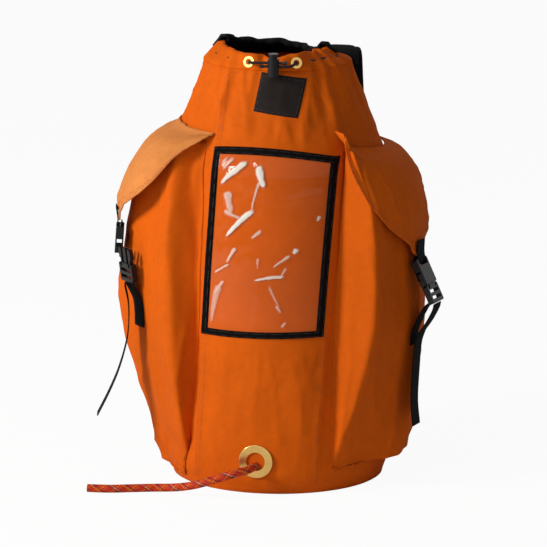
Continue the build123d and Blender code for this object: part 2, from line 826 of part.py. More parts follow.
def plug_body(face):
    """Adds a plug with its adjuster slots and centre tongue to the part being built."""
    slots = (plug_start + 9.5, plug_start + 18.5)
    with BuildSketch(face) as base:
        with Locations((0, plug_start + plug_length / 2)):
            RectangleRounded(buckle_width, plug_length, 3)
        with Locations(*((0, y) for y in slots)):
            Rectangle(strap_width + 1, plug_slot, mode=Mode.SUBTRACT)
        for x in (-arm_root_x, arm_root_x):
            with Locations((x, plug_start)):
                Rectangle(2 * arm_root_radius + 1.4, 2 * (root_y - plug_start), mode=Mode.SUBTRACT)
            with Locations((x, root_y)):
                Circle(arm_root_radius + fit_gap, mode=Mode.SUBTRACT)
    extrude(base.sketch, amount=plug_thickness / 2, both=True)
    with BuildSketch(face) as tongue:
        with Locations((0, plug_start - tongue_length / 2 + 1)):
            RectangleRounded(tongue_width, tongue_length + 2, 2)
    extrude(tongue.sketch, amount=plug_insert / 2, both=True)


def plug_arm(face, across):
    """Adds one springy prong, rounded at its root, with a pad that the fingers press."""
    reach = buckle_width / 2 - socket_wall - fit_gap
    tip_y = plug_start - arm_length
    with BuildSketch(face) as arm:
        with Locations((across * arm_root_x, root_y)):
            Circle(arm_root_radius)
        with BuildLine():
            Polyline(
                (across * (arm_root_x - arm_width / 2), root_y),
                (across * (arm_root_x - arm_width / 2), tip_y + 3),
                (across * (arm_root_x - arm_width / 2 + 1.5), tip_y),
                (across * (arm_root_x + arm_width / 2), tip_y),
                (across * reach, tip_y + 4),
                (across * reach, tip_y + 4 + arm_pad_length),
                (across * (arm_root_x + arm_width / 2), tip_y + 6 + arm_pad_length),
                (across * (arm_root_x + arm_width / 2), root_y),
                close=True,
            )
        make_face()
    extrude(arm.sketch, amount=plug_insert / 2, both=True)


for name, face in (("left", left_plug_face), ("right", right_socket_face)):
    with BuildPart() as buckle_plug:
        plug_body(face)
    buckle_plug.part.label = f"{name}_buckle_plug"
    export_step(buckle_plug.part, f"parts/{name}_buckle_plug.step")

    for across, place in ((-1, "a"), (1, "b")):
        with BuildPart() as buckle_prong:
            plug_arm(face, across)
        buckle_prong.part.label = f"{name}_buckle_prong_{place}"
        export_step(buckle_prong.part, f"parts/{name}_buckle_prong_{place}.step")

# ---------------------------------------------------------------- left pocket strap
with BuildPart() as left_strap_base:
    ribbon(
        left_strap_plane,
        [(strap_lie, 0), (strap_lie + 0.4, anchor_rise / 2), (strap_lie + 0.4, anchor_rise)],
        4,
        strap_width,
        tape,
    )
left_strap_base.part.label = "left_strap_base"
export_step(left_strap_base.part, "parts/left_strap_base.step")

with BuildPart() as left_strap:
    ribbon(
        left_strap_plane,
        [
            (strap_lie + 0.5, anchor_rise + fit_gap),
            (strap_lie + 3, anchor_rise + strap_stand * 0.4),
            (plug_foot[0] - 2, plug_foot[1] - 8),
            (plug_foot[0], plug_foot[1]),
        ],
        (20, 12),
        strap_width,
        tape,
    )
left_strap.part.label = "left_strap"
export_step(left_strap.part, "parts/left_strap.step")

# The tail hangs from the plug, edge-on to the front, and curls away from the bag.
tail_top = on_part(left_strap_plane, plug_foot[0] + tail_stand, plug_foot[1] - 2)
left_tail_plane = strap_plane(-1, tab_turn, tail_top)
with BuildPart() as left_strap_tail:
    ribbon(
        left_tail_plane,
        [(0, 0), (-5, -30), (-3, -72), (8, -114), (22, -148), (38, -180)],
        (40, 60, 60, 60),
        strap_width,
        tape,
    )
left_strap_tail.part.label = "left_strap_tail"
export_step(left_strap_tail.part, "parts/left_strap_tail.step")

# ---------------------------------------------------------------- right pocket strap
# Both straps of the clipped buckle are cut where the flap carries them, so that the lower
# pieces stretch as the flap lifts and the upper ones as the plug is drawn out.
right_pocket_hit = surface(
    right_pocket_outer, (far, right_tip.Y, right_anchor_z), (-1, 0, 0)
)[0]
right_sewn = right_tab_plane.to_local_coords(right_pocket_hit)
plug_back = on_part(right_socket_face, 0, plug_end - 4)
plug_back_local = right_tab_plane.to_local_coords(plug_back)
strap_end = (plug_back_local.X - plug_thickness * 0.55, plug_back_local.Y - plug_thickness * 0.35)
sewn_x = right_sewn.X + strap_lie + 2.2
sewn_top = right_sewn.Y + anchor_rise
strap_middle = ((sewn_x + strap_end[0]) / 2 - 2, (sewn_top + strap_end[1]) / 2 + 1)

with BuildPart() as right_strap_lower:
    ribbon(
        right_tab_plane,
        [(sewn_x, right_sewn.Y), (sewn_x + 2, sewn_top), strap_middle],
        20,
        strap_width,
        tape,
    )
right_strap_lower.part.label = "right_strap_lower"
export_step(right_strap_lower.part, "parts/right_strap_lower.step")

with BuildPart() as right_strap_upper:
    ribbon(
        right_tab_plane,
        [
            (strap_middle[0] + fit_gap, strap_middle[1] + fit_gap),
            (strap_end[0] - 9, strap_end[1] - 9),
            strap_end,
        ],
        10,
        strap_width,
        tape,
    )
right_strap_upper.part.label = "right_strap_upper"
export_step(right_strap_upper.part, "parts/right_strap_upper.step")

tail_start = right_tab_plane.to_local_coords(on_part(right_socket_face, 0, plug_end + 1.5))
tail_cut = (5.0, -106.0)
with BuildPart() as right_tail_upper:
    ribbon(
        right_tab_plane,
        [(tail_start.X, tail_start.Y), (tail_start.X - 2, tail_start.Y - 8), (16, -90), tail_cut],
        (4, 20),
        strap_width,
        tape,
    )
right_tail_upper.part.label = "right_tail_upper"
export_step(right_tail_upper.part, "parts/right_tail_upper.step")

with BuildPart() as right_tail_lower:
    ribbon(
        right_tab_plane,
        [(tail_cut[0] - 0.2, tail_cut[1] - 0.5), (-1, -125), (-4, -161), (-6, -203), (-3, -236)],
        30,
        strap_width,
        tape,
    )
right_tail_lower.part.label = "right_tail_lower"
export_step(right_tail_lower.part, "parts/right_tail_lower.step")

# ---------------------------------------------------------------- back pad and haul loop
pad_outer = body_form(back_pad_thickness)
with BuildPart() as back_pad:
    add(pad_outer)
    add(wall_outer, mode=Mode.SUBTRACT)
    keep((-back_pad_half_width, 0, back_pad_low), (back_pad_half_width, far, back_pad_high))
back_pad.part.label = "back_pad"
export_step(back_pad.part, "parts/back_pad.step")


def back_y(form, x, height):
    """Where the back of a form stands, at a distance from the middle and a height."""
    return surface(form, (x, far, height), (0, -1, 0))[0].Y


haul_seam = Vector(0, back_y(wall_outer, 0, haul_seam_z), haul_seam_z)
haul_foot_z = haul_seam_z - haul_drop
haul_slope = Vector(0, back_y(wall_outer, 0, haul_foot_z), haul_foot_z) - haul_seam
haul_face = Plane(origin=haul_seam, x_dir=(1, 0, 0), z_dir=Vector(1, 0, 0).cross(haul_slope))
with BuildPart() as haul_loop_base:
    with BuildSketch(haul_face.offset(tape)) as patch:
        for x in (-haul_half_width, haul_half_width):
            with Locations((x, 0)):
                Rectangle(haul_width, haul_width)
    extrude(patch.sketch, amount=-5 * tape)
    add(wall_outer, mode=Mode.SUBTRACT)
haul_loop_base.part.label = "haul_loop_base"
export_step(haul_loop_base.part, "parts/haul_loop_base.step")

with BuildPart() as haul_loop:
    with BuildSketch(haul_face.offset(tape + fit_gap)) as loop:
        with BuildLine():
            FilletPolyline(
                (-haul_half_width, -haul_width / 2),
                (-haul_half_width, haul_drop),
                (haul_half_width, haul_drop),
                (haul_half_width, -haul_width / 2),
                radius=haul_half_width - 1,
            )
        trace(line_width=haul_width)
    extrude(loop.sketch, amount=2 * tape)
haul_loop.part.label = "haul_loop"
export_step(haul_loop.part, "parts/haul_loop.step")

# ---------------------------------------------------------------- shoulder straps
strap_line = shoulder_gap + back_pad_thickness + shoulder_thickness / 2
strap_inner_x = shoulder_x - shoulder_width / 2
seam_y = back_y(wall_outer, strap_inner_x, shoulder_seam_z)
rise_y = seam_y + seam_stand + fit_gap + shoulder_thickness / 2
hang_y = back_y(wall_outer, strap_inner_x, shoulder_height) + strap_line
belly_y = back_y(wall_outer, strap_inner_x, shoulder_low) + strap_line
lower_y = back_y(wall_outer, shoulder_x - lower_width / 2 - 4, lower_anchor_z)

for name, x in (("left", -shoulder_x), ("right", shoulder_x)):
    side_plane = Plane(origin=(x, 0, 0), x_dir=(0, 1, 0), z_dir=(1, 0, 0))
    with BuildPart() as shoulder_base:
        with BuildSketch(side_plane) as seam:
            with BuildLine():
                Polyline(
                    (seam_y + 1, shoulder_seam_z - seam_lap),
                    (seam_y + seam_stand, shoulder_seam_z - 8),
                    (seam_y + seam_stand, shoulder_seam_z - fit_gap),
                    (seam_y - seam_stand, shoulder_seam_z - fit_gap),
                    (seam_y - seam_stand, shoulder_seam_z - seam_lap),
                    close=True,
                )
            make_face()
        extrude(seam.sketch, amount=shoulder_width / 2, both=True)
        add(wall_outer, mode=Mode.SUBTRACT)
        keep((-far, 0, 0), (far, far, wall_top))
    shoulder_base.part.label = f"{name}_shoulder_base"
    export_step(shoulder_base.part, f"parts/{name}_shoulder_base.step")

    with BuildPart() as shoulder_strap:
        ribbon(
            side_plane,
            [
                (rise_y, shoulder_seam_z - 6),
                (rise_y, shoulder_seam_z + 22),
                (rise_y + 24, shoulder_seam_z + 8),
                (hang_y, shoulder_height),
                (belly_y + 2, (shoulder_height + shoulder_low) / 2),
                (belly_y, shoulder_low),
            ],
            (9, 14, 60, 200),
            shoulder_width,
            shoulder_thickness,
        )
    shoulder_strap.part.label = f"{name}_shoulder_strap"
    export_step(shoulder_strap.part, f"parts/{name}_shoulder_strap.step")

    ladder_top = shoulder_low
    ladder_y = belly_y - ladder_thickness / 2
    with BuildPart() as ladder_lock:
        with BuildSketch(Plane.XZ.offset(-ladder_y)) as frame_outline:
            with Locations((x, ladder_top - ladder_length / 2)):
                RectangleRounded(ladder_width, ladder_length, 3)
            for drop in (0.28, 0.72):
                with Locations((x, ladder_top - ladder_length * drop)):
                    Rectangle(
                        ladder_width - 2 * ladder_bar,
                        (ladder_length - 3 * ladder_bar) / 2,
                        mode=Mode.SUBTRACT,
                    )
        extrude(frame_outline.sketch, amount=-ladder_thickness)
    ladder_lock.part.label = f"{name}_ladder_lock"
    export_step(ladder_lock.part, f"parts/{name}_ladder_lock.step")

    lower_top = ladder_top - ladder_length - fit_gap
    with BuildPart() as lower_webbing:
        ribbon(
            side_plane,
            [
                (belly_y, lower_top),
                (belly_y + 3, (lower_top * 2 + lower_anchor_z) / 3),
                (belly_y - 4, lower_anchor_z + lower_anchor_lap),
                (lower_y + tape / 2 + 2, lower_anchor_z),
            ],
            (80, 30),
            lower_width,
            tape,
        )
    lower_webbing.part.label = f"{name}_lower_webbing"
    export_step(lower_webbing.part, f"parts/{name}_lower_webbing.step")

    with BuildPart() as lower_anchor:
        with BuildSketch(side_plane) as wedge:
            with BuildLine():
                Polyline(
                    (lower_y - 8, lower_anchor_z - lower_anchor_lap),
                    (lower_y + 1.6, lower_anchor_z - lower_anchor_lap),
                    (lower_y + 1.6, lower_anchor_z + lower_anchor_lap / 2),
                    (lower_y - 8, lower_anchor_z + lower_anchor_lap / 2),
                    close=True,
                )
            make_face()
        extrude(wedge.sketch, amount=lower_width / 2 + 4, both=True)
        add(wall_outer, mode=Mode.SUBTRACT)
    lower_anchor.part.label = f"{name}_lower_anchor"
    export_step(lower_anchor.part, f"parts/{name}_lower_anchor.step")

# ---------------------------------------------------------------- rope
# The knot seats in the inner end of the port's barrel.
knot_seat = sqrt(knot_radius**2 - port_hole_radius**2)
knot_plane = port_face.offset(-(2 * fit_gap + 2 * wall + port_washer + knot_seat))
rope_start = knot_plane.offset(knot_radius - knot_flat).origin - up * rope_drop
rope_route = [tuple(rope_start), *rope_run]
runs = [Vector(*b) - Vector(*a) for a, b in zip(rope_route, rope_route[1:])]
rope_radii = []
for before, after in zip(runs, runs[1:]):
    shorter = min(before.length, after.length)
    rope_radii.append(0.45 * shorter / tan(radians(before.get_angle(after) / 2)))
print("rope radii", [round(radius) for radius in rope_radii])

with BuildPart() as rope_tail:
    with BuildLine() as route:
        FilletPolyline(*rope_route, radius=rope_radii)
    with BuildSketch(Plane(origin=route.line @ 0, z_dir=route.line % 0)):
        Circle(rope_diameter / 2)
    sweep(path=route.line)
rope_tail.part.label = "rope_tail"
export_step(rope_tail.part, "parts/rope_tail.step")
rope_length = sum(edge.length for edge in route.edges())
rope_section = pi * rope_diameter**2 / 4
print("rope length", round(rope_length), "volume over section times length",
      round(rope_tail.part.volume / (rope_section * rope_length), 5))

with BuildPart() as rope_stopper:
    with Locations(knot_plane):
        Sphere(knot_radius)
    with BuildSketch(Plane(origin=route.line @ 0, z_dir=route.line % 0)):
        Circle(knot_radius)
    extrude(amount=knot_radius, mode=Mode.SUBTRACT)
rope_stopper.part.label = "rope_stopper"
export_step(rope_stopper.part, "parts/rope_stopper.step")
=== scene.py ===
import json
from math import acos, atan2, ceil, cos, exp, floor, hypot, pi, radians, sin, sqrt

import bmesh
import bpy
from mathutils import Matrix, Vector, noise

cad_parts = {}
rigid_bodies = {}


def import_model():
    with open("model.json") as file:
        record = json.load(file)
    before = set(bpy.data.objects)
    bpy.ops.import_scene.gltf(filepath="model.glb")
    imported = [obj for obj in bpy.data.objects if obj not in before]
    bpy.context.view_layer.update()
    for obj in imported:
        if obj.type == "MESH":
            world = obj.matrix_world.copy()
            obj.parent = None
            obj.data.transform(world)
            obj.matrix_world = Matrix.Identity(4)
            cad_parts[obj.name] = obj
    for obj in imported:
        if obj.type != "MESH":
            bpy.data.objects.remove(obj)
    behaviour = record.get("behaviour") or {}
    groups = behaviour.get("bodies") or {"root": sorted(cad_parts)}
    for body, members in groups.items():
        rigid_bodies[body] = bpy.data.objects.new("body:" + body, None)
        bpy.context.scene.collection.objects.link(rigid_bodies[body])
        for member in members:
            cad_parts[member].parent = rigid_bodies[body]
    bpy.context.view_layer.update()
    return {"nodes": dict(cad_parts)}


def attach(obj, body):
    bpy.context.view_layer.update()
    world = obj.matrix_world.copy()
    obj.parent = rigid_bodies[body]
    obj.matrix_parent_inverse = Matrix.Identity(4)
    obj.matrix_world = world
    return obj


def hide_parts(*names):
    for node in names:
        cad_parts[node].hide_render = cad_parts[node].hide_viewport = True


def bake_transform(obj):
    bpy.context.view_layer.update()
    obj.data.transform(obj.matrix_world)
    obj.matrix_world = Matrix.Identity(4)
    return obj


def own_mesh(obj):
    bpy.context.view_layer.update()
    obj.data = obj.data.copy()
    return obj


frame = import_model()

MM = 0.001
UP = Vector((0, 0, 1))


# ---------------------------------------------------------------- small helpers
def smooth_step(low, high, value):
    t = min(max((value - low) / (high - low), 0.0), 1.0)
    return t * t * (3 - 2 * t)


def ramp(table, value):
    """Reads a table of (key, number, ...) rows between its keys."""
    if value <= table[0][0]:
        return list(table[0][1:])
    for a, b in zip(table, table[1:]):
        if value <= b[0]:
            t = (value - a[0]) / (b[0] - a[0])
            return [p + (q - p) * t for p, q in zip(a[1:], b[1:])]
    return list(table[-1][1:])


def soft_ramp(table, value, spread):
    """The same, rounded off over a spread either side of the value."""
    parts = [ramp(table, value + spread * k / 3) for k in range(-3, 4)]
    return [sum(column) / len(parts) for column in zip(*parts)]


def crumple(x, y, z, size, seed=0.0):
    return noise.noise(Vector((x / size + seed, y / size - seed * 0.7, z / size + seed * 1.3)))


def ridges(x, y, z, size, seed=0.0):
    """Sharp-backed folds, 0 to 1, mostly low."""
    slope = abs(crumple(x, y, z, size, seed))
    return (1 - slope * 2.2) ** 3 if slope < 0.45 else 0.0


def lengths_along(points):
    """How far each of the points lies along the line through them."""
    lengths = [0.0]
    for a, b in zip(points, points[1:]):
        lengths.append(lengths[-1] + (Vector(b) - Vector(a)).length)
    return lengths


# ---------------------------------------------------------------- materials
def material(name, colour, roughness, **shader):
    made = bpy.data.materials.new(name)
    made.use_nodes = True
    body = made.node_tree.nodes["Principled BSDF"]
    body.inputs["Base Color"].default_value = (*colour, 1)
    body.inputs["Roughness"].default_value = roughness
    for socket, value in shader.items():
        body.inputs[socket.replace("_", " ")].default_value = value
    return made


def node(made, kind, **values):
    added = made.node_tree.nodes.new(kind)
    for key, value in values.items():
        if hasattr(added, key):
            setattr(added, key, value)
        else:
            added.inputs[key.replace("_", " ")].default_value = value
    return added


def reckon(made, operation, *constants):
    """A maths node whose inputs after the first hold the constants."""
    added = node(made, "ShaderNodeMath", operation=operation)
    for socket, value in zip(added.inputs[1:], constants):
        socket.default_value = value
    return added


def link(made, start, end):
    made.node_tree.links.new(start, end)


def principled(made, socket):
    return made.node_tree.nodes["Principled BSDF"].inputs[socket]


def surface(made):
    return made.node_tree.nodes["Material Output"].inputs["Surface"]


def mottle(made, colour, spread, scale):
    """Uneven dye and wear: the colour drifts lighter and darker over the cloth."""
    place = node(made, "ShaderNodeTexCoord")
    cloud = node(made, "ShaderNodeTexNoise", Scale=scale, Detail=6.0, Roughness=0.62)
    fine = node(made, "ShaderNodeTexNoise", Scale=scale * 14, Detail=3.0, Roughness=0.6)
    both = node(made, "ShaderNodeMix", data_type="FLOAT")
    both.inputs[0].default_value = 0.35
    band = node(made, "ShaderNodeValToRGB")
    for element, position, share in zip(band.color_ramp.elements, (0.30, 0.72), (1 - spread, 1 + spread)):
        element.position = position
        element.color = (*(min(1, c * share) for c in colour), 1)
    for texture, socket in ((cloud, 2), (fine, 3)):
        link(made, place.outputs["Object"], texture.inputs["Vector"])
        link(made, texture.outputs["Fac"], both.inputs[socket])
    link(made, both.outputs[0], band.inputs["Fac"])
    link(made, band.outputs["Color"], principled(made, "Base Color"))


def raised(made, height, depth, strength):
    """Bumps the surface by a height."""
    bump = node(made, "ShaderNodeBump", Strength=strength, Distance=depth)
    link(made, height, bump.inputs["Height"])
    link(made, bump.outputs["Normal"], principled(made, "Normal"))


WAVE_GAP = 2 * pi / 20  # between the bands of a wave texture, at scale 1


def weave(made, across, along, depth, strength, weft_way="Y"):
    """Threads raised on the piece's own UV map, which is in metres."""
    place = node(made, "ShaderNodeTexCoord")
    cross = reckon(made, "MULTIPLY")
    for socket, (way, gap) in enumerate((("X", across), (weft_way, along))):
        threads = node(made, "ShaderNodeTexWave", wave_type="BANDS", bands_direction=way, Scale=WAVE_GAP / gap)
        link(made, place.outputs["UV"], threads.inputs["Vector"])
        link(made, threads.outputs["Fac"], cross.inputs[socket])
    raised(made, cross.outputs[0], depth, strength)


def grain(made, scale, depth, strength):
    """A fine moulded or cast grain on Object coordinates."""
    place = node(made, "ShaderNodeTexCoord")
    speck = node(made, "ShaderNodeTexNoise", Scale=scale, Detail=4.0, Roughness=0.6)
    link(made, place.outputs["Object"], speck.inputs["Vector"])
    raised(made, speck.outputs["Fac"], depth, strength)


def make_stuff(name, colour, roughness, drift, threads=None, specks=None, **shader):
    """A material that drifts by (colour, spread, scale), with threads woven or specks cast in it."""
    made = material(name, colour, roughness, **shader)
    mottle(made, *drift)
    if threads:
        weave(made, *threads)
    if specks:
        grain(made, *specks)
    return made


def pack_cloth(name, colour, spread=0.13):
    return make_stuff(name, colour, 0.76, (colour, spread, 9.0), (0.0011, 0.0011, 0.00022, 0.45),
                      Specular_IOR_Level=0.09)


cordura = pack_cloth("orange_pack_cloth", (0.60, 0.098, 0.0015))
# the right flap's cloth is a lighter copy of the pack cloth: painted light, the extra light that falls on that flap
# from above
flap_cloth_painted_light = pack_cloth("orange_flap_cloth_painted_light", (0.66, 0.112, 0.003), 0.15)
# the left flap's cloth is paler: painted light, the glare that the lamp throws on that flap
glare_painted_cloth = pack_cloth("orange_glare_painted_cloth", (0.58, 0.205, 0.052), 0.16)
webbing_cloth = make_stuff("black_webbing", (0.005, 0.005, 0.0055), 0.72, ((0.0055, 0.0055, 0.006), 0.45, 40.0),
                           (0.0016, 0.0022, 0.0005, 0.8, "DIAGONAL"), Specular_IOR_Level=0.06)
binding_cloth = make_stuff("black_binding", (0.004, 0.0035, 0.0035), 0.75, ((0.0045, 0.0035, 0.0035), 0.4, 60.0),
                           (0.0012, 0.0012, 0.0003, 0.7), Specular_IOR_Level=0.04)
pad_cloth = make_stuff("black_pad_cloth", (0.008, 0.008, 0.009), 0.82, ((0.008, 0.008, 0.009), 0.35, 30.0),
                       (0.0026, 0.0026, 0.0006, 0.8), Sheen_Weight=0.02, Specular_IOR_Level=0.08)
label_stuff = make_stuff("dark_label", (0.013, 0.010, 0.009), 0.65, ((0.014, 0.010, 0.009), 0.25, 70.0),
                         specks=(900.0, 0.0002, 0.5), Specular_IOR_Level=0.1)
orange_thread = make_stuff("orange_thread", (0.42, 0.06, 0.006), 0.55, ((0.42, 0.06, 0.006), 0.2, 300.0))
dark_thread = make_stuff("dark_thread", (0.030, 0.026, 0.024), 0.5, ((0.030, 0.026, 0.024), 0.3, 300.0))
moulded_black = make_stuff("black_acetal", (0.005, 0.005, 0.0055), 0.34, ((0.0065, 0.0065, 0.007), 0.2, 120.0),
                           specks=(1400.0, 0.00008, 0.35), Specular_IOR_Level=0.28)
brass = make_stuff("brass", (0.78, 0.52, 0.16), 0.24, ((0.80, 0.54, 0.17), 0.12, 45.0),
                   specks=(600.0, 0.00006, 0.3), Metallic=1.0)
steel = make_stuff("spring_steel", (0.55, 0.55, 0.56), 0.3, ((0.55, 0.55, 0.56), 0.1, 200.0), Metallic=1.0)
drawcord_black = make_stuff("drawcord_black", (0.006, 0.006, 0.0065), 0.62, ((0.007, 0.007, 0.0075), 0.6, 500.0),
                            specks=(1200.0, 0.0004, 0.9), Specular_IOR_Level=0.2)
knot_sheath = make_stuff("rope_knot", (0.55, 0.07, 0.03), 0.7, ((0.55, 0.08, 0.03), 0.5, 220.0),
                         specks=(500.0, 0.0005, 0.8))

rope_sheath = material("rope_sheath", (0.6, 0.08, 0.03), 0.7, Specular_IOR_Level=0.2)
# the sheath takes its colour from the yarn attribute: the yarn colours with painted shade between the strands
yarn_with_painted_shading = node(rope_sheath, "ShaderNodeAttribute", attribute_name="yarn_with_painted_shading")
link(rope_sheath, yarn_with_painted_shading.outputs["Color"], principled(rope_sheath, "Base Color"))
grain(rope_sheath, 2500.0, 0.00015, 0.5)

# the clear sheet: see-through, glossier at a glance, and painted white where the attribute marks its creases: a
# painted highlight for the streaks of light the creases catch
clear_vinyl = material("clear_vinyl", (0.95, 0.9, 0.85), 0.08)
clear_nodes = clear_vinyl.node_tree.nodes
clear_nodes.remove(clear_nodes["Principled BSDF"])
see_through = node(clear_vinyl, "ShaderNodeBsdfTransparent", Color=(0.985, 0.965, 0.94, 1))
shine = node(clear_vinyl, "ShaderNodeBsdfGlossy", Roughness=0.045, Color=(1, 1, 1, 1))
glance = node(clear_vinyl, "ShaderNodeLayerWeight", Blend=0.5)
steep = reckon(clear_vinyl, "POWER", 4.0)
gloss = reckon(clear_vinyl, "MULTIPLY_ADD", 0.22, 0.016)
highlight_paint = node(clear_vinyl, "ShaderNodeAttribute", attribute_name="painted_crease_highlight")
highlight_diffuse = node(clear_vinyl, "ShaderNodeBsdfDiffuse", Color=(0.80, 0.76, 0.68, 1))
film, creased = node(clear_vinyl, "ShaderNodeMixShader"), node(clear_vinyl, "ShaderNodeMixShader")
for start, end in (
    (glance.outputs["Facing"], steep.inputs[0]), (steep.outputs[0], gloss.inputs[0]),
    (gloss.outputs[0], film.inputs["Fac"]), (see_through.outputs["BSDF"], film.inputs[1]),
    (shine.outputs["BSDF"], film.inputs[2]), (highlight_paint.outputs["Fac"], creased.inputs["Fac"]),
    (film.outputs["Shader"], creased.inputs[1]), (highlight_diffuse.outputs["BSDF"], creased.inputs[2]),
    (creased.outputs["Shader"], surface(clear_vinyl)),
):
    link(clear_vinyl, start, end)


# ---------------------------------------------------------------- building cloth
def dress(piece, body, look, *nodes):
    """Rides a piece on its body, for the nodes that it replaces."""
    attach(piece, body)
    if nodes:
        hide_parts(*nodes)


def apply_all(piece):
    for other in bpy.context.view_layer.objects:
        other.select_set(False)
    piece.select_set(True)
    bpy.context.view_layer.objects.active = piece
    for modifier in list(piece.modifiers):
        bpy.ops.object.modifier_apply(modifier=modifier.name)


def piece_from(name, points, faces, uvs, stuff):
    """A mesh piece from points in millimetres; uvs are given per point, in metres."""
    mesh = bpy.data.meshes.new(name)
    mesh.from_pydata([Vector(p) * MM for p in points], [], faces)
    layer = mesh.uv_layers.new(name="UVMap")
    for polygon in mesh.polygons:
        polygon.use_smooth = True
        corner_uvs = [uvs[i] for i in polygon.vertices]
        for loop, uv in zip(polygon.loop_indices, corner_uvs):
            layer.data[loop].uv = uv
    mesh.materials.append(stuff)
    piece = bpy.data.objects.new(name, mesh)
    bpy.context.scene.collection.objects.link(piece)
    return piece


def rework(piece, fill=False, join=0.0, outwards=True, flip=False):
    """Mends a piece's mesh: fills its open ends, joins doubled points within a distance, and
    turns its faces outwards or the other way round."""
    work = bmesh.new()
    work.from_mesh(piece.data)
    if fill:
        open_edges = [edge for edge in work.edges if edge.is_boundary]
        bmesh.ops.holes_fill(work, edges=open_edges, sides=0)
    if join:
        bmesh.ops.remove_doubles(work, verts=work.verts, dist=join)
    if outwards:
        bmesh.ops.recalc_face_normals(work, faces=work.faces)
    else:
        bmesh.ops.dissolve_degenerate(work, edges=work.edges, dist=join / 2)
    if flip:
        bmesh.ops.reverse_faces(work, faces=work.faces)
    work.to_mesh(piece.data)
    work.free()


def grid_piece(name, rows, stuff, thickness=0.0, loop=False, inside=None):
    """Sews rows of points into a sheet. With a thickness it becomes a wall, grown
    towards inside, the point that its inner face looks at."""
    count = len(rows[0])
    run = [length * MM for length in lengths_along(rows[len(rows) // 2])]
    drop = [length * MM for length in lengths_along([row[count // 2] for row in rows])]
    points = [p for row in rows for p in row]
    uvs = [(across, down) for down in drop for across in run]
    faces = []
    for k in range(0, (len(rows) - 1) * count, count):
        faces += [(k + j, k + count + j, k + count + j + 1, k + j + 1) for j in range(count - 1)]
        if loop:
            faces.append((k + count - 1, k + 2 * count - 1, k + count, k))
    piece = piece_from(name, points, faces, uvs, stuff)
    flip = False
    if inside is not None:
        polygon = piece.data.polygons[len(piece.data.polygons) // 2 + count // 2]
        flip = polygon.normal.dot(polygon.center - Vector(inside) * MM) < 0
    rework(piece, join=0.00002, outwards=False, flip=flip)
    if thickness:
        wall = piece.modifiers.new("Wall", "SOLIDIFY")
        wall.thickness = thickness * MM
        wall.offset = -1
        wall.use_even_offset = False
        apply_all(piece)
    return piece


def curve_through(points, step):
    """Points along a smooth line that passes through the given ones."""
    points = [Vector(p) for p in points]
    ends = [points[0] * 2 - points[1], *points, points[-1] * 2 - points[-2]]
    line = []
    for p0, p1, p2, p3 in zip(ends, ends[1:], ends[2:], ends[3:]):
        steps = max(1, ceil((p2 - p1).length / step))
        for k in range(steps):
            t = k / steps
            line.append(
                0.5 * ((2 * p1) + (p2 - p0) * t + (2 * p0 - 5 * p1 + 4 * p2 - p3) * t * t
                       + (3 * p1 - p0 - 3 * p2 + p3) * t**3)
            )
    line.append(points[-1])
    return line


webbing_shares = [0.0, 0.15, 0.3, 0.45, 0.6, 0.75, 0.9, 0.97, 1.0]
webbing_shares = [-share for share in webbing_shares[:0:-1]] + webbing_shares


def webbing(name, route, across, width, thickness, stuff, step=3.0, crown=0.0, pinch=()):
    """A strap along a route, its width along across; crown pads its middle, and each pinch
    is a row of quilting, at a share of its half width."""
    line = curve_through(route, step)
    across = Vector(across).normalized()
    points, uvs, drop = [], [], 0.0
    for i, p in enumerate(line):
        ahead = line[min(i + 1, len(line) - 1)] - line[max(i - 1, 0)]
        front = across.cross(ahead).normalized()
        if i:
            drop += (p - line[i - 1]).length * MM
        end = min(i, len(line) - 1 - i)
        taper = sqrt(min(1.0, (end + 0.6) / 5))
        for face, shares in ((1, webbing_shares), (-1, webbing_shares[::-1])):
            for share in shares:
                half = thickness / 2 * (1 - abs(share) ** 12) ** 0.5 + 0.02
                if crown:
                    quilt = sum(exp(-((share - q) / 0.07) ** 2) for q in pinch)
                    half = (1.1 + crown * max(0.0, 1 - abs(share) ** 4) * (1 - 0.55 * quilt)) * taper
                points.append(p + across * (share * width / 2) + front * (face * half))
                uvs.append((share * width / 2 * MM, drop))
    half = len(webbing_shares)
    count = 2 * half
    faces = []
    for k in range(0, (len(line) - 1) * count, count):
        faces += [(k + j, k + (j + 1) % count, k + count + (j + 1) % count, k + count + j) for j in range(count)]
    for base, turn in ((0, False), ((len(line) - 1) * count, True)):
        for j in range(half - 1):
            cap = (base + j, base + count - 1 - j, base + count - 2 - j, base + j + 1)
            faces.append(cap[::-1] if turn else cap)
    piece = piece_from(name, points, faces, uvs, stuff)
    rework(piece, join=0.00001)
    return piece


def stitches(name, lines, stuff, length=2.6, gap=1.3, width=0.7, height=0.5):
    """Rows of thread. Each line is a list of (point, outward) along the cloth."""
    points, faces, uvs = [], [], []
    sunk = -0.15
    for line in lines:
        walked = 0.0
        for (a, out), (b, _) in zip(line, line[1:]):
            a, b, out = Vector(a), Vector(b), Vector(out).normalized()
            run = (b - a).length
            if run < 1e-6:
                continue
            way = (b - a) / run
            side = way.cross(out).normalized()
            at = (length + gap - walked) % (length + gap)
            while at + length * 0.5 < run:
                start = a + way * at
                k = len(points)
                for along, lift in ((0, sunk), (length * 0.22, height), (length * 0.78, height), (length, sunk)):
                    for share in (-1, 1):
                        spread = 0.35 if lift < 0 else 1.0
                        points.append(start + way * along + side * (share * width / 2 * spread) + out * lift)
                        uvs.append((along * MM, share * MM))
                for j in range(3):
                    faces.append((k + 2 * j, k + 2 * j + 1, k + 2 * j + 3, k + 2 * j + 2))
                at += length + gap
            walked = (walked + run) % (length + gap)
    return piece_from(name, points, faces, uvs, stuff)


def band_piece(name, rows, stuff):
    """A folded band or a tube whose open ends are closed."""
    piece = grid_piece(name, rows, stuff)
    rework(piece, fill=True)
    return piece


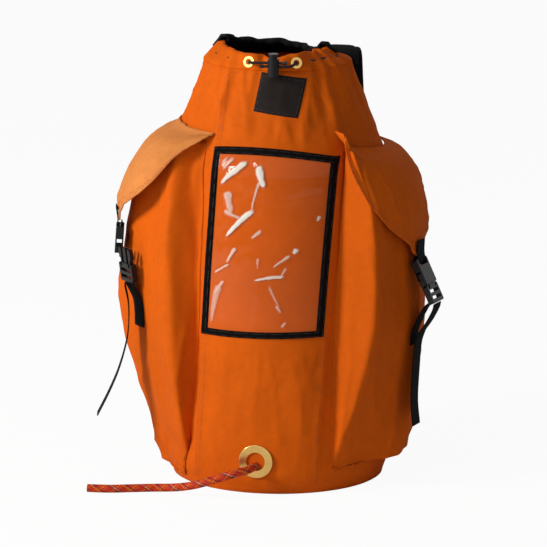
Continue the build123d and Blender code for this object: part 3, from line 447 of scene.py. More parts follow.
# ---------------------------------------------------------------- the bag's wall
wall_sections = [
    (0, 141, 133), (22, 149, 141), (88, 151, 143), (308, 151, 143), (440, 145, 137),
    (508, 120, 108), (552, 103, 88), (588, 94, 77), (632, 90, 73),
]
hem_low, mouth_middle = 566.0, 577.0
panel_half, panel_lean = 85.0, radians(3.8)
window_middle = (14.9, 338.0)
window_half = (83.5, 126.0)
sheet_half = (76.5, 119.0)
label_middle, label_half, label_tilt = (22.0, 536.0), (30.0, 25.0), radians(8)
eyelet_places = (-22.0, 41.0)


def halves(z):
    return soft_ramp(wall_sections, z, 10)


def panel_middle(z):
    return 12 + (z - 294) * sin(panel_lean) / cos(panel_lean)


def turned(x, z, middle, lean):
    """A place on the front in the coordinates of a patch that leans to the right."""
    dx, dz = x - middle[0], z - middle[1]
    return dx * cos(lean) - dz * sin(lean), dx * sin(lean) + dz * cos(lean)


def patch_place(s, h, middle, lean):
    """A place on a leaning patch; the cloth under the window is pulled a little out of square."""
    if middle == window_middle:
        right, high = 0.5 + s / (2 * window_half[0]), 0.5 + h / (2 * window_half[1])
        crest = 10 * max(0, 1 - ((s + 14) / 92) ** 2) * max(0, high) ** 2
        h += high * (4.5 * right - 6) + (1 - high) * (13 * right - 3) + crest
        s = 0.98 * s - 2.6
    return middle[0] + s * cos(lean) + h * sin(lean), middle[1] - s * sin(lean) + h * cos(lean)


def away(s, h, half_s, half_h, reach):
    """0 inside a rectangle and 1 further from it than reach."""
    gap = hypot(max(abs(s) - half_s, 0), max(abs(h) - half_h, 0))
    return smooth_step(0, reach, gap)


def relief(x, y, z):
    """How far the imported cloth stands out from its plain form, in millimetres."""
    calm = 1.0
    if y < 0:
        s, h = turned(x, z, window_middle, panel_lean)
        calm *= away(s, h, *window_half, 26)
        s, h = turned(x, z, label_middle, label_tilt)
        calm *= 0.15 + 0.85 * away(s, h, *label_half, 14)
        calm *= smooth_step(24, 46, hypot(x, z - 47))
        for place in eyelet_places:
            calm *= 0.3 + 0.7 * smooth_step(8, 20, hypot(x - place, z - mouth_middle))
    else:
        calm *= away(x, z - 275, 80, 157, 22)
        calm *= 0.1 + 0.9 * away(abs(x) - 45, z - 520, 52, 75, 20)
        calm *= away(abs(x) - 66, z - 56, 16, 24, 12)
    calm *= smooth_step(2, 26, z)
    neck = smooth_step(440, 545, z)
    around = atan2(y, x)
    swell = 2.4 * crumple(x, y, z * 0.45, 46, 3.1) + 1.3 * crumple(x, y, z, 24, 8.4)
    fine = 0.5 * crumple(x, y, z, 9, 5.2)
    pleats = (sin(around * 17 + 2.2 * crumple(x, y, z, 60, 1.7)) + 0.7 * sin(around * 29 + 1.3)) * 1.5
    drag = 2.6 * ridges(x * 1.4, y * 1.4, z * 0.32 + x * 0.25, 34, 6.6) - 0.6
    offset = calm * (swell + fine + neck * pleats + (0.35 + 0.5 * neck) * drag)
    if y < 0:
        for side in (-1, 1):
            from_seam = side * (x - panel_middle(z)) - panel_half
            offset += 0.9 * exp(-((from_seam + 3) / 3.0) ** 2) * smooth_step(6, 20, z)
            low = smooth_step(485, 440, z) * smooth_step(20, 60, z)
            if side < 0:
                offset -= 9.0 * smooth_step(0, 7, from_seam) * smooth_step(34, 18, from_seam) * low
            else:
                offset -= 2.5 * smooth_step(0, 6, from_seam) * smooth_step(26, 12, from_seam) * low
    else:
        offset += 0.8 * exp(-((abs(x) - 85) / 2.6) ** 2)
    return offset


def wall_at(around, z, out=0.0):
    """A point of the bag's wall, and the way it faces."""
    a, b = halves(z)
    x, y = a * cos(around), b * sin(around)
    facing = Vector((cos(around) / a, sin(around) / b, 0)).normalized()
    return Vector((x, y, z)) + facing * (relief(x, y, z) + out), facing


def front_at(x, z, out=0.0):
    a, _ = halves(z)
    return wall_at(-acos(min(max(x / a, -1), 1)), z, out)


def back_at(x, z, out=0.0):
    a, _ = halves(z)
    return wall_at(acos(min(max(x / a, -1), 1)), z, out)


def clear_of_wall(point, gap):
    """Moves a point that is too near the wall out to the gap."""
    a, b = halves(point.z)
    wall_point, _ = wall_at(atan2(point.y / b, point.x / a), point.z, gap)
    if hypot(point.x, point.y) < hypot(wall_point.x, wall_point.y):
        return Vector((wall_point.x, wall_point.y, point.z))
    return point


turns = [2 * pi * k / 264 for k in range(264)]
shell_rows = []
a, b = halves(0)
for share in (0.0, 0.25, 0.5, 0.75, 0.92, 0.985):
    shell_rows.append([(a * cos(t) * share, b * sin(t) * share, 0.15) for t in turns])
height = 1.6
while height < hem_low + 3:
    shell_rows.append([tuple(wall_at(t, height)[0]) for t in turns])
    height += 5.5
bag_wall = grid_piece("bag_wall", shell_rows, cordura, thickness=1.8, loop=True, inside=(0, 0, 300))
dress(bag_wall, "bag", "orange_cordura",
      "front_panel", "back_panel", "left_side_panel", "right_side_panel", "base_panel")


def mouth_change(t, z):
    """How the gathered mouth leans in and rises and falls, round the bag at a height."""
    near_cord = max(exp(-((cos(t) * 96 - place) / 11) ** 2) for place in eyelet_places) if sin(t) < 0 else 0.0
    loose = 1 - 0.85 * near_cord
    share = smooth_step(564, 592, z)
    sideways, back = smooth_step(0.25, 0.95, abs(cos(t))), smooth_step(0.0, 0.8, sin(t))
    lean = share * (2 + 17 * sideways + 21 * back * (1 - 0.5 * sideways)) * loose
    lean += share * 11 * smooth_step(0.2, 0.9, cos(t)) * (1 - 0.4 * back)
    gather = 2.0 * sin(t * 23 + 1.5 * sin(t * 5)) * loose * share
    lift = 2.6 * crumple(cos(t) * 95, sin(t) * 80, 0, 30, 4.4) + 1.2 * sin(t * 11 + 0.8)
    lift += 3 * smooth_step(-0.4, -0.8, cos(t)) - 3 * smooth_step(0.5, 0.9, cos(t))
    lift -= back * (9 + 6 * smooth_step(-0.4, 0.7, cos(t)))
    lift -= 6 * exp(-((cos(t) * 96 - 8) / 15) ** 2) * (sin(t) < 0)
    return gather - lean, lift * loose * share


# the gathered hem round the mouth
hem_section = []
for k in range(20):
    t = 2 * pi * k / 20
    square = (abs(cos(t)) ** 4 + abs(sin(t)) ** 4) ** 0.25
    hem_section.append((3.9 * cos(t) / square - 1.0, 10.9 * sin(t) / square))
hem_rows = []
for out, rise in [*hem_section, hem_section[0]]:
    row = []
    for t in turns:
        inward, lift = mouth_change(t, mouth_middle + rise)
        point, _ = wall_at(t, mouth_middle, out + inward)
        base, _ = wall_at(t, mouth_middle + rise * 0.5)
        point = point + (base - wall_at(t, mouth_middle)[0]) * 1.6
        row.append((point.x, point.y, mouth_middle + rise + lift))
    hem_rows.append(row)
gathered_hem = grid_piece("gathered_hem", hem_rows, cordura, loop=True)
rework(gathered_hem, fill=True)
dress(gathered_hem, "bag", "orange_cordura", "cord_hem")

# black webbing inside the back of the mouth: (distance out, height) of its section
rim_section = [
    (-7.6, 562), (-7.0, 563), (-7.2, 580), (-7.2, 588), (-3.0, 593), (3.2, 592), (4.9, 588), (5.2, 581), (6.2, 581),
    (6.0, 589), (3.8, 594.4), (-3.4, 595), (-8.8, 590), (-8.8, 580), (-8.6, 563), (-8.2, 562), (-7.6, 562),
]
rim_rows = []
for out, z in rim_section:
    row = []
    for k in range(97):
        t = radians(-4 + 188 * k / 96)
        a, b = halves(z)
        inward, wave = mouth_change(t, z)
        row.append(((a + out + inward) * cos(t), (b + out + inward) * sin(t), z + wave))
    rim_rows.append(row)
rim_tape = band_piece("rim_tape", rim_rows, webbing_cloth)
dress(rim_tape, "bag", "black_webbing", "back_rim_webbing")

# the drawcord's hidden run through the hem, from one eyelet round the back to the other
drawcord_radius, ring_inset, ring_half = 1.8, 1.0, (96.7, 80.4)
ring_from, ring_sweep = -61.5, 315
ring_rows = []
for k in range(11):
    turn = 2 * pi * k / 10
    row = []
    for i in range(181):
        t = radians(ring_from + ring_sweep * i / 180)
        inward, lift = mouth_change(t, mouth_middle)
        out = drawcord_radius * cos(turn) + inward - ring_inset
        z = mouth_middle + lift + drawcord_radius * sin(turn)
        row.append(((ring_half[0] + out) * cos(t), (ring_half[1] + out) * sin(t), z))
    ring_rows.append(row)
hidden_cord = band_piece("hidden_drawcord", ring_rows, drawcord_black)
dress(hidden_cord, "bag", "drawcord_black", "drawcord_in_hem")


# ---------------------------------------------------------------- window and label
def frame_loop(inset, lift, step=5.0):
    """Points round the window at an inset from its outer edge, lifted off the wall."""
    half_s, half_h = window_half[0] - inset, window_half[1] - inset
    corners = [(-half_s, -half_h), (half_s, -half_h), (half_s, half_h), (-half_s, half_h)]
    counts = [ceil(2 * half / step) for half in window_half] * 2
    loop = []
    for (a, b), (c, d), steps in zip(corners, corners[1:] + corners[:1], counts):
        for k in range(steps):
            t = k / steps
            x, z = patch_place(a + (c - a) * t, b + (d - b) * t, window_middle, panel_lean)
            wobble = 0.25 * crumple(x, 0, z, 11, 7.7) if lift > 0.5 else 0
            loop.append(tuple(front_at(x, z, lift + wobble)[0]))
    return loop


# (inset, lift) across the binding
binding_section = [(0.0, -0.3), (0.1, 1.3), (0.8, 2.1), (2.5, 2.5), (4.5, 2.55), (6.5, 2.5), (8.2, 2.1), (8.9, 1.3),
                   (9.0, -0.3)]
binding_rows = [frame_loop(inset, lift) for inset, lift in binding_section]
window_frame = grid_piece("window_frame", binding_rows, binding_cloth, loop=True, inside=(15, 0, 350))
dress(window_frame, "bag", "black_binding", "window_binding")

# creases in the clear sheet: place, length, heading in degrees, half width, height, and the strength of the painted
# highlight along the crease
creases = [
    (-52, 95, 46, 40, 5.0, 3.4, 0.85), (-60, 106, 20, 50, 2.5, 2.2, 0.6), (-66, 109, 14, 52, 2.0, 1.6, 0.6),
    (-13, 91, 30, 112, 6.0, 3.2, 0.95), (-19, 66, 44, 78, 2.0, 1.7, 0.5), (-54, 56, 30, 106, 6.5, 3.2, 0.45),
    (-38, 31, 52, 46, 4.5, 3.5, 0.95), (-48, 40, 26, 160, 3.0, 2.0, 0.5), (-13, 16, 17, 40, 3.0, 2.2, 0.5),
    (40, -4, 8, 60, 4.0, 2.6, 0.95), (23, -18, 28, 38, 2.2, 1.6, 0.55), (8, -41, 42, 10, 2.6, 1.7, 0.75),
    (27, -33, 14, 65, 2.0, 1.5, 0.5), (-46, -13, 24, 62, 3.0, 2.0, 0.6), (-58, -32, 26, 34, 2.0, 1.6, 0.55),
    (-66, -80, 56, 80, 6.0, 2.6, 0.36), (-60, -58, 22, 60, 2.6, 1.9, 0.5), (16, -66, 32, 118, 1.6, 1.3, 0.4),
    (24, -84, 12, 125, 2.0, 1.5, 0.5), (32, -106, 9, 55, 2.5, 1.5, 0.5), (66, 41, 8, 70, 3.0, 1.8, 0.9),
    (-4, -84, 60, 84, 9.0, 1.6, 0.0), (52, 70, 60, 12, 10.0, 1.5, 0.0), (-8, -22, 14, 95, 1.8, 1.3, 0.4),
]


def sheet_crease(s, h):
    """How high the creases lift the sheet at a place, and how strong the painted highlight along them is there."""
    total, white = 0, 0
    for middle_s, middle_h, length, heading, half_width, height, highlight_amount in creases:
        c, d = cos(radians(heading)), sin(radians(heading))
        along = (s - middle_s) * c + (h - middle_h) * d
        if abs(along) > length:
            continue
        taper = half_width * (0.75 + 0.5 * along / length) * (1 + 0.25 * crumple(s, 0, h, 7, 2.2))
        over = ((h - middle_h) * c - (s - middle_s) * d + 0.003 * along * along) / taper
        if abs(over) < 3:
            crown = exp(-over * over) * smooth_step(length * 0.62, length * 0.3, abs(along))
            total += height * crown * (0.3 if highlight_amount else 1.0)
            ragged = 0.16 * crumple(s, 0, h, 4, 6.6)
            white = max(white, highlight_amount * smooth_step(0.30, 0.66, crown + ragged))
    return total, white


vinyl_rows, painted_crease_highlight = [], []
for i in range(181):
    h = sheet_half[1] * (2 * i / 180 - 1)
    row = []
    for j in range(121):
        s = sheet_half[0] * (2 * j / 120 - 1)
        x, z = patch_place(s, h, window_middle, panel_lean)
        free = smooth_step(1, 12, min(sheet_half[0] - abs(s), sheet_half[1] - abs(h)))
        sag = 0.9 * crumple(s, 0, h * 0.6, 42, 4.9) + 0.25 * crumple(s, 0, h, 13, 1.9)
        height, white = sheet_crease(s, h)
        painted_crease_highlight.append(white * free)
        lift = 0.9 + free * (0.7 + sag + height)
        row.append(tuple(front_at(x, z, max(lift, 0.5))[0]))
    vinyl_rows.append(row)
window_sheet = grid_piece("window_sheet", vinyl_rows, clear_vinyl, inside=(15, 0, 350))
# painted highlight: the sheet is whitened along its creases, where they would catch the lamp's light
paint = window_sheet.data.color_attributes.new("painted_crease_highlight", "FLOAT_COLOR", "POINT")
for k, white in enumerate(painted_crease_highlight):
    paint.data[k].color = (white, white, white, 1)
dress(window_sheet, "bag", "clear_vinyl", "window_vinyl")

label_rows = []
for i in range(25):
    h = -label_half[1] + 2 * label_half[1] * i / 24
    row = []
    for j in range(31):
        s = -label_half[0] + 2 * label_half[0] * j / 30
        room = min(label_half[0] - abs(s), label_half[1] - abs(h))
        lift = 1.45 * smooth_step(-0.5, 1.6, room) - 0.2 + 0.25 * exp(-((room - 1.8) / 0.9) ** 2)
        lift -= 0.28 * exp(-((room - 3.6) / 0.7) ** 2)
        x, z = patch_place(s, h, label_middle, label_tilt)
        row.append(tuple(front_at(x, z, lift)[0]))
    label_rows.append(row)
bare_label = grid_piece("bare_label", label_rows, label_stuff, inside=(22, 0, 538))
dress(bare_label, "bag", "label_rubber", "label_patch")

# ---------------------------------------------------------------- pockets
# (height, reach, the fold's distance out, the fold's depth, half its outer face)
left_pocket_rows = [
    (10, 150, 96, 88, 30), (14, 157, 100, 92, 30), (62, 171, 108, 104, 26), (110, 187, 112, 110, 22),
    (180, 208, 118, 115, 18), (250, 219, 122, 117, 16), (345, 206, 126, 115, 20), (424, 186, 122, 106, 24),
    (484, 150, 104, 98, 30),
]
right_pocket_rows = [
    (30, 170, 92, 106, 30), (36, 176, 96, 108, 30), (66, 183, 108, 110, 26), (110, 188, 128, 113, 24),
    (166, 194, 142, 115, 22), (235, 201, 156, 115, 20), (320, 195, 159, 114, 22), (398, 182, 152, 110, 26),
    (478, 146, 118, 100, 30),
]


def pocket_outline(side, z, sizes, ridge):
    """Points round a pocket at one height, from its front seam to its back seam."""
    reach, fold, depth, face = sizes
    seam = side * panel_middle(z) + panel_half + 2.5
    keen = smooth_step(40, 120, z)
    corners = [
        (side * min(seam, fold - 4), -(depth - 14)),
        (side * fold, -depth - ridge * keen),
        (side * reach, -face),
        (side * reach, face),
        (side * fold, depth),
        (side * (fold - 40), depth - 8),
    ]
    counts = (12, 26, 10, 26, 12)
    line = []
    for (a, b), (c, d), steps in zip(corners, corners[1:], counts):
        for k in range(steps):
            t = k / steps
            line.append(Vector((a + (c - a) * t, b + (d - b) * t, z)))
    line.append(Vector((*corners[-1], z)))
    for _ in range(3):
        line = [line[0]] + [(p + q * 2 + r) / 4 for p, q, r in zip(line, line[1:], line[2:])] + [line[-1]]
    return line


outline_cache = {}


def pocket_outline_point(side, z, table, ridge, k):
    """One point of a pocket's outline; outlines are kept every 2 mm."""
    level = round(z / 2)
    for key in (level, level + 1):
        if (side, key) not in outline_cache:
            outline_cache[side, key] = pocket_outline(side, key * 2.0, soft_ramp(table, key * 2.0, 22), ridge)
    t = z / 2 - level
    point = outline_cache[side, level][k].lerp(outline_cache[side, level + 1][k], t)
    return Vector((point.x, point.y, z))


def pocket_drape(side, p, foot, mouth):
    """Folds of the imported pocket: long ones that run up the cloth, and slack near the foot."""
    low = smooth_step(mouth, mouth - 160, p.z)
    tall = 3.2 * ridges(p.x, p.y, p.z * 0.22 + p.y * 0.35, 38, 11.0 + side)
    swell = 3.0 * crumple(p.x, p.y, p.z * 0.5, 52, 14.0 + side)
    small = 0.8 * crumple(p.x, p.y, p.z, 15, 17.0)
    slack = 2.4 * crumple(p.x * 0.4, p.y * 0.4, p.z, 18, 21.0) * smooth_step(foot + 80, foot + 10, p.z)
    return (tall - 0.8) * (0.4 + 0.6 * low) + swell + small + slack


def make_pocket(name, side, table, ridge):
    foot, mouth, front_mouth = table[1][0], table[-2][0] - 4, table[-1][0] - 12
    last = len(pocket_outline(side, foot, ramp(table, foot), ridge)) - 1
    rows = []
    levels = 66
    for level in range(levels + 1):
        share = level / levels
        outline = []
        for k in range(last + 1):
            top = mouth + (front_mouth - mouth) * smooth_step(30, 12, k)
            outline.append(pocket_outline_point(side, top + (foot - top) * share, table, ridge, k))
        row = []
        for k, p in enumerate(outline):
            ahead = outline[min(k + 1, last)] - outline[max(k - 1, 0)]
            out = Vector((ahead.y, -ahead.x, 0)).normalized()
            if out.x * side < 0 and 14 < k < last - 13:
                out = -out
            if out.x * p.x + out.y * p.y < 0:
                out = -out
            sewn = smooth_step(0, 10, k) * smooth_step(0, 10, last - k)
            rim = smooth_step(0, 0.08, share)
            amount = pocket_drape(side, p, foot, mouth) * sewn * (0.25 + 0.75 * rim)
            row.append(clear_of_wall(p + out * amount, 1.0))
        rows.append(row)
    lowest = rows[-1]
    for share, drop in ((0.12, 2.2), (0.35, 3.0), (0.7, 2.4), (1.0, 0.5)):
        rows.append([
            clear_of_wall(Vector((p.x + (side * 118 - p.x) * share, p.y * (1 - 0.25 * share), p.z - drop)), 0.6)
            for p in lowest
        ])
    rows = [[tuple(p) for p in row] for row in rows]
    piece = grid_piece(name, rows, cordura, thickness=1.8, inside=(side * 150, 0, 250))
    dress(piece, "bag", "orange_cordura", name.replace("_bellows", ""))
    return rows


left_rows = make_pocket("left_pocket_bellows", -1, left_pocket_rows, 10.0)
right_rows = make_pocket("right_pocket_bellows", 1, right_pocket_rows, 6.0)

# ---------------------------------------------------------------- flaps
# (height, centre, reach, half depth) of the hood that each flap is cut from
left_hood = [(326, 118, 214, 124), (380, 118, 216, 124), (420, 112, 202, 120), (446, 105, 185, 116),
             (466, 90, 164, 110), (478, 70, 144, 104), (486, 55, 133, 98), (496, 55, 128, 98)]
right_hood = [(300, 118, 206, 124), (372, 118, 200, 124), (410, 114, 190, 120), (431, 112, 178, 115),
              (445, 112, 163, 110), (455, 112, 150, 106), (462, 112, 141, 103), (500, 110, 124, 94)]


def hood_at(side, table, turn, z):
    centre, reach, depth = soft_ramp(table, z, 5)
    facing = Vector((side * cos(turn) / (reach - centre), sin(turn) / depth, 0.004)).normalized()
    return Vector((side * (centre + (reach - centre) * cos(turn)), depth * sin(turn), z)), facing


def bend_at_hinge(piece):
    """Bakes a piece's placing into its points; it does not bend the piece at the flap's seam."""
    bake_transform(piece)


def make_flap(name, side, table, top_edge, low_edge, turn_from, stuff):
    """A flap from its seam on the bag down to its pointed end; edges are (turn, height)."""
    columns, levels = 72, 40
    seam_share, seam_gap = 0.16, 3.4
    rows = []
    for i in range(levels + 1):
        share = i / levels
        row = []
        for j in range(columns + 1):
            turn = turn_from + (55 - turn_from) * j / columns
            high, low = ramp(top_edge, turn)[0], ramp(low_edge, turn)[0]
            z = high + (low - high) * share
            point, facing = hood_at(side, table, radians(turn), z)
            sag = 2.4 * crumple(point.x, point.y * 0.7, point.z, 40, 31 + side)
            sag += 0.9 * crumple(point.x, point.y, point.z, 16, 35)
            fold = 2.2 * ridges(point.x * 0.5, point.y * 1.3, point.z * 0.5, 36, 41 + side)
            hem = 0.8 * exp(-((1 - share) * (high - low) / 5) ** 2)
            lift = (sag + fold) * smooth_step(0.05, 0.35, share) * 0.9 + hem
            if side < 0:
                lift += 5.5 * smooth_step(-24, -60, turn) * smooth_step(0.0, 0.3, share)
            point = point + facing * lift
            if share < seam_share:
                a, b = halves(z)
                seam_point, _ = wall_at(atan2(point.y / b, point.x / a), z, seam_gap)
                point = seam_point.lerp(point, smooth_step(-0.03, seam_share, share))
            row.append(tuple(clear_of_wall(point, 3.2)))
        rows.append(row)
    piece = grid_piece(name + "_flap_cloth_painted_light", rows, stuff, thickness=2.0, inside=(side * 100, 0, 380))
    bend_at_hinge(piece)
    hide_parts(name + "_flap", name + "_flap_yoke")
    return rows


left_hinge, right_hinge = 0.478, 0.455
left_top = [(-89, 484), (-60, 485), (0, 486), (55, 484)]
left_low = [(-89, 471), (-80, 443), (-70, 414), (-60, 396), (-50, 384), (-27.5, 357), (-26, 347), (-10, 347),
            (-8.5, 357), (50, 388), (55, 392)]
right_top = [(-88, 490), (-70, 478), (-50, 466), (0, 455), (55, 455)]
right_low = [(-88, 474), (-78, 436), (-66, 396), (-50, 362), (-27.5, 331), (-26, 319), (-10, 319), (-8.5, 331),
             (50, 360), (55, 364)]
# both flaps wear painted light: the left one a paler cloth for the lamp's glare, the right one a lighter copy of the
# pack cloth
left_flap_rows = make_flap("left", -1, left_hood, left_top, left_low, -89, glare_painted_cloth)
right_flap_rows = make_flap("right", 1, right_hood, right_top, right_low, -88, flap_cloth_painted_light)


# ---------------------------------------------------------------- straps
def strap_frame(side, turn):
    out = Vector((side * cos(radians(turn)), -sin(radians(turn)), 0))
    return out, out.cross(UP)


def in_plane(origin, out, route):
    return [Vector(origin) + out * x + UP * y for x, y in route]


left_tip, right_tip = (-209.8, -38, 346.1), (200.9, -38, 318.1)
for name, side, tip, top in (("left", -1, left_tip, 1.9), ("right", 1, right_tip, 0.0)):
    out, across = strap_frame(side, 13)
    route = in_plane(tip, out, [(top + 2.6, 19), (1.9 + top * 0.3, 3), (2.9, -6), (2.8, -11.2), (1.4, -13.4),
                                (-1.0, -13.8), (-3.1, -12.2), (-3.7, -8.5), (-2.6, -3.0)])
    tab = webbing(name + "_tab_webbing", route, across, 25, 1.6, webbing_cloth, step=1.2)
    dress(tab, name + "_flap", "black_webbing", name + "_flap_tab")


def bending_strap(name, route, across, nodes, width=25, step=3.0):
    """Webbing along a route, baked into place, standing for the given nodes; it does not bend between bodies."""
    strap = webbing(name, route, across, width, 1.6, webbing_cloth, step=step)
    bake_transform(strap)
    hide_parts(*nodes)


out, across = strap_frame(-1, 43)
route = in_plane((-176.5, -55, 205), out, [(3.0, -1), (3.2, 9), (3.5, 18), (5.8, 35.6), (13.5, 51), (16.8, 57),
                                           (17.8, 62)])
bending_strap("left_strap_webbing", route, across, ("left_strap", "left_strap_base"))
out, across = strap_frame(-1, 13)
route = in_plane((-195.1, -72.3, 265.0), out, [(0, 0), (-5, -30), (-3, -72), (8, -114), (22, -148), (38, -180)])
bending_strap("left_tail_webbing", route, across, ("left_strap_tail",))

out, across = strap_frame(1, 13)
low_bodies, high_bodies = ("bag", "right_flap"), ("right_flap", "right_plug")
for name, bodies, ends, stands_for, step, places in (
    ("right_strap_low", low_bodies, (0, -1), "right_strap_lower", 3.0,
     [(-7.6, -125.1), (-5.6, -107.1), (0.0, -93.5), (4.0, -84.3)]),
    ("right_strap_high", high_bodies, (0, -1), "right_strap_upper", 1.5,
     [(4.1, -84.1), (10.8, -72.4), (15.5, -67.0), (19.8, -63.4)]),
    ("right_tail_low", low_bodies, (-1, 0), "right_tail_lower", 3.0,
     [(4.8, -106.4), (-1, -125), (-4, -161), (-6, -203), (-3, -236)]),
    ("right_tail_high", high_bodies, (-1, 0), "right_tail_upper", 1.5,
     [(26.6, -65.5), (24.6, -73.5), (16, -90), (5, -106)]),
):
    bending_strap(name, in_plane(right_tip, out, places), across, (stands_for,), step=step)

# ---------------------------------------------------------------- the back
pad_rows = []
pad_half, pad_low, pad_high = 78.0, 120.0, 430.0
for i in range(79):
    h = i / 78
    z = pad_low + (pad_high - pad_low) * h
    row = []
    for side in (1, -1):
        for j in range(49):
            s = (-1 + 2 * j / 48) * side
            room = min(pad_half * (1 - abs(s)), z - pad_low, pad_high - z)
            crown = smooth_step(-1, 16, room) ** 0.6
            quilt = exp(-((abs(s) * pad_half - 27) / 4) ** 2) * smooth_step(14, 26, min(z - pad_low, pad_high - z))
            quilt += exp(-((room - 7) / 2.2) ** 2) * 0.5
            lift = 0.6 + 7.6 * crown * (1 - 0.5 * min(1, quilt)) if side > 0 else 0.25
            row.append(tuple(back_at(s * pad_half, z, lift)[0]))
    row.append(row[0])
    pad_rows.append(row)
back_padding = band_piece("back_padding", pad_rows, pad_cloth)
dress(back_padding, "bag", "pad_cloth", "back_pad")

# how far out each part of a shoulder strap lies: its seam, its rise, its hang, its belly and its foot
seam_y, rise_y, hang_y, belly_y, lower_y = 82.6, 97.4, 149.9, 156.1, 133.4
along_x = (1, 0, 0)
for name, x in (("left", -66), ("right", 66)):
    route = [(x, y, z) for y, z in (
        (rise_y, 543), (rise_y + 0.5, 558), (rise_y + 6, 565.5), (rise_y + 15, 562.5), (rise_y + 25, 551), (131, 515),
        (141, 478), (hang_y - 0.6, 436), (belly_y - 0.6, 392), (belly_y + 1.5, 350), (belly_y + 0.8, 305),
        (belly_y, 270.5))]
    strap = webbing(name + "_shoulder_padding", route, along_x, 50, 9, pad_cloth, step=3.5, crown=3.3,
                    pinch=(-0.72, 0.72))
    dress(strap, name + "_shoulder", "pad_cloth", name + "_shoulder_strap")
    route = [(x, seam_y + rise, z) for rise, z in (
        (2.2, 524), (6.5, 533), (9, 541), (9, 547), (6.5, 548.6), (2, 549))]
    base = webbing(name + "_shoulder_tab", route, along_x, 50, 1.8, webbing_cloth, step=1.5)
    dress(base, "bag", "pad_cloth", name + "_shoulder_base")
    route = [(x, belly_y, 245.5), (x, belly_y + 2.6, 190), (x, belly_y - 1, 125), (x, belly_y - 6, 92),
             (x, lower_y + 3.2, 63)]
    bending_strap(name + "_lower_strap", route, along_x,
                  (name + "_lower_webbing",), width=20)
    route = [(x, back_at(x, z, 1.6)[0].y, z) for z in (37, 50, 63, 74)]
    foot = webbing(name + "_lower_tab", route, along_x, 28, 2.2, webbing_cloth)
    dress(foot, "bag", "black_webbing", name + "_lower_anchor")

# haul loop: a band round a flat loop, on the slope of the wall
down = Vector((0, 0.42, -0.907)).normalized()
lifted = Vector((0, 0.907, 0.42)).normalized()
seam = Vector((0, 88.0, 552.0))
leg_x, band_half = 27, 9.7
arch = [(-leg_x, -9.8), (-leg_x, 20), (-leg_x, 47)]
arch += [(-leg_x * cos(radians(a)), 48 + 26 * sin(radians(a))) for a in range(12, 180, 12)]
arch += [(leg_x, 47), (leg_x, 20), (leg_x, -9.8)]
arch_line = curve_through([(x, y, 0) for x, y in arch], 3.0)
loop_rows = []
for share, lift in ((-1, 3.5), (-0.96, 4.6), (-0.85, 5.0), (-0.4, 5.1), (0, 5.1), (0.4, 5.1), (0.85, 5.0), (0.96, 4.6),
                    (1, 3.5), (0.96, 2.4), (0.85, 2.05), (0, 2.0), (-0.85, 2.05), (-0.96, 2.4), (-1, 3.5)):
    row = []
    for k, p in enumerate(arch_line):
        ahead = arch_line[min(k + 1, len(arch_line) - 1)] - arch_line[max(k - 1, 0)]
        q = p + Vector((ahead.y, -ahead.x, 0)).normalized() * (share * band_half)
        row.append(tuple(seam + Vector((1, 0, 0)) * q.x + down * q.y + lifted * lift))
    loop_rows.append(row)
haul = band_piece("haul_band", loop_rows, webbing_cloth)
dress(haul, "haul_loop", "black_webbing", "haul_loop")
for side_name, x in (("left", -leg_x), ("right", leg_x)):
    route = [seam + Vector((x, 0, 0)) + down * y + lifted * 0.9 for y in (-9.5, 0, 9.5)]
    foot = webbing("haul_tab_" + side_name, route, along_x, 20, 1.5, webbing_cloth, step=2.0)
    dress(foot, "bag", "black_webbing", "haul_loop_base")


# ---------------------------------------------------------------- rope and drawcord
def cord_line(name, route):
    """The smooth line of a cord whose control points are the given ones, in metres."""
    curve = bpy.data.curves.new(name + "_line", "CURVE")
    curve.dimensions = "3D"
    curve.resolution_u = 24
    spline = curve.splines.new("NURBS")
    spline.points.add(len(route) - 1)
    for point, place in zip(spline.points, route):
        point.co = (*place, 1)
    spline.order_u = 3
    spline.use_endpoint_u = True
    holder = bpy.data.objects.new(name + "_line", curve)
    bpy.context.scene.collection.objects.link(holder)
    bpy.context.view_layer.update()
    mesh = bpy.data.meshes.new_from_object(holder)
    line = [vertex.co.copy() for vertex in mesh.vertices]
    bpy.data.objects.remove(holder)
    bpy.data.meshes.remove(mesh)
    return line


def even_line(line, step):
    lengths = lengths_along(line)
    count = max(2, round(lengths[-1] / step))
    made, k = [], 0
    for i in range(count + 1):
        want = lengths[-1] * i / count
        while k < len(lengths) - 2 and lengths[k + 1] < want:
            k += 1
        t = (want - lengths[k]) / max(lengths[k + 1] - lengths[k], 1e-9)
        made.append(line[k].lerp(line[k + 1], min(t, 1)))
    return made, lengths[-1]


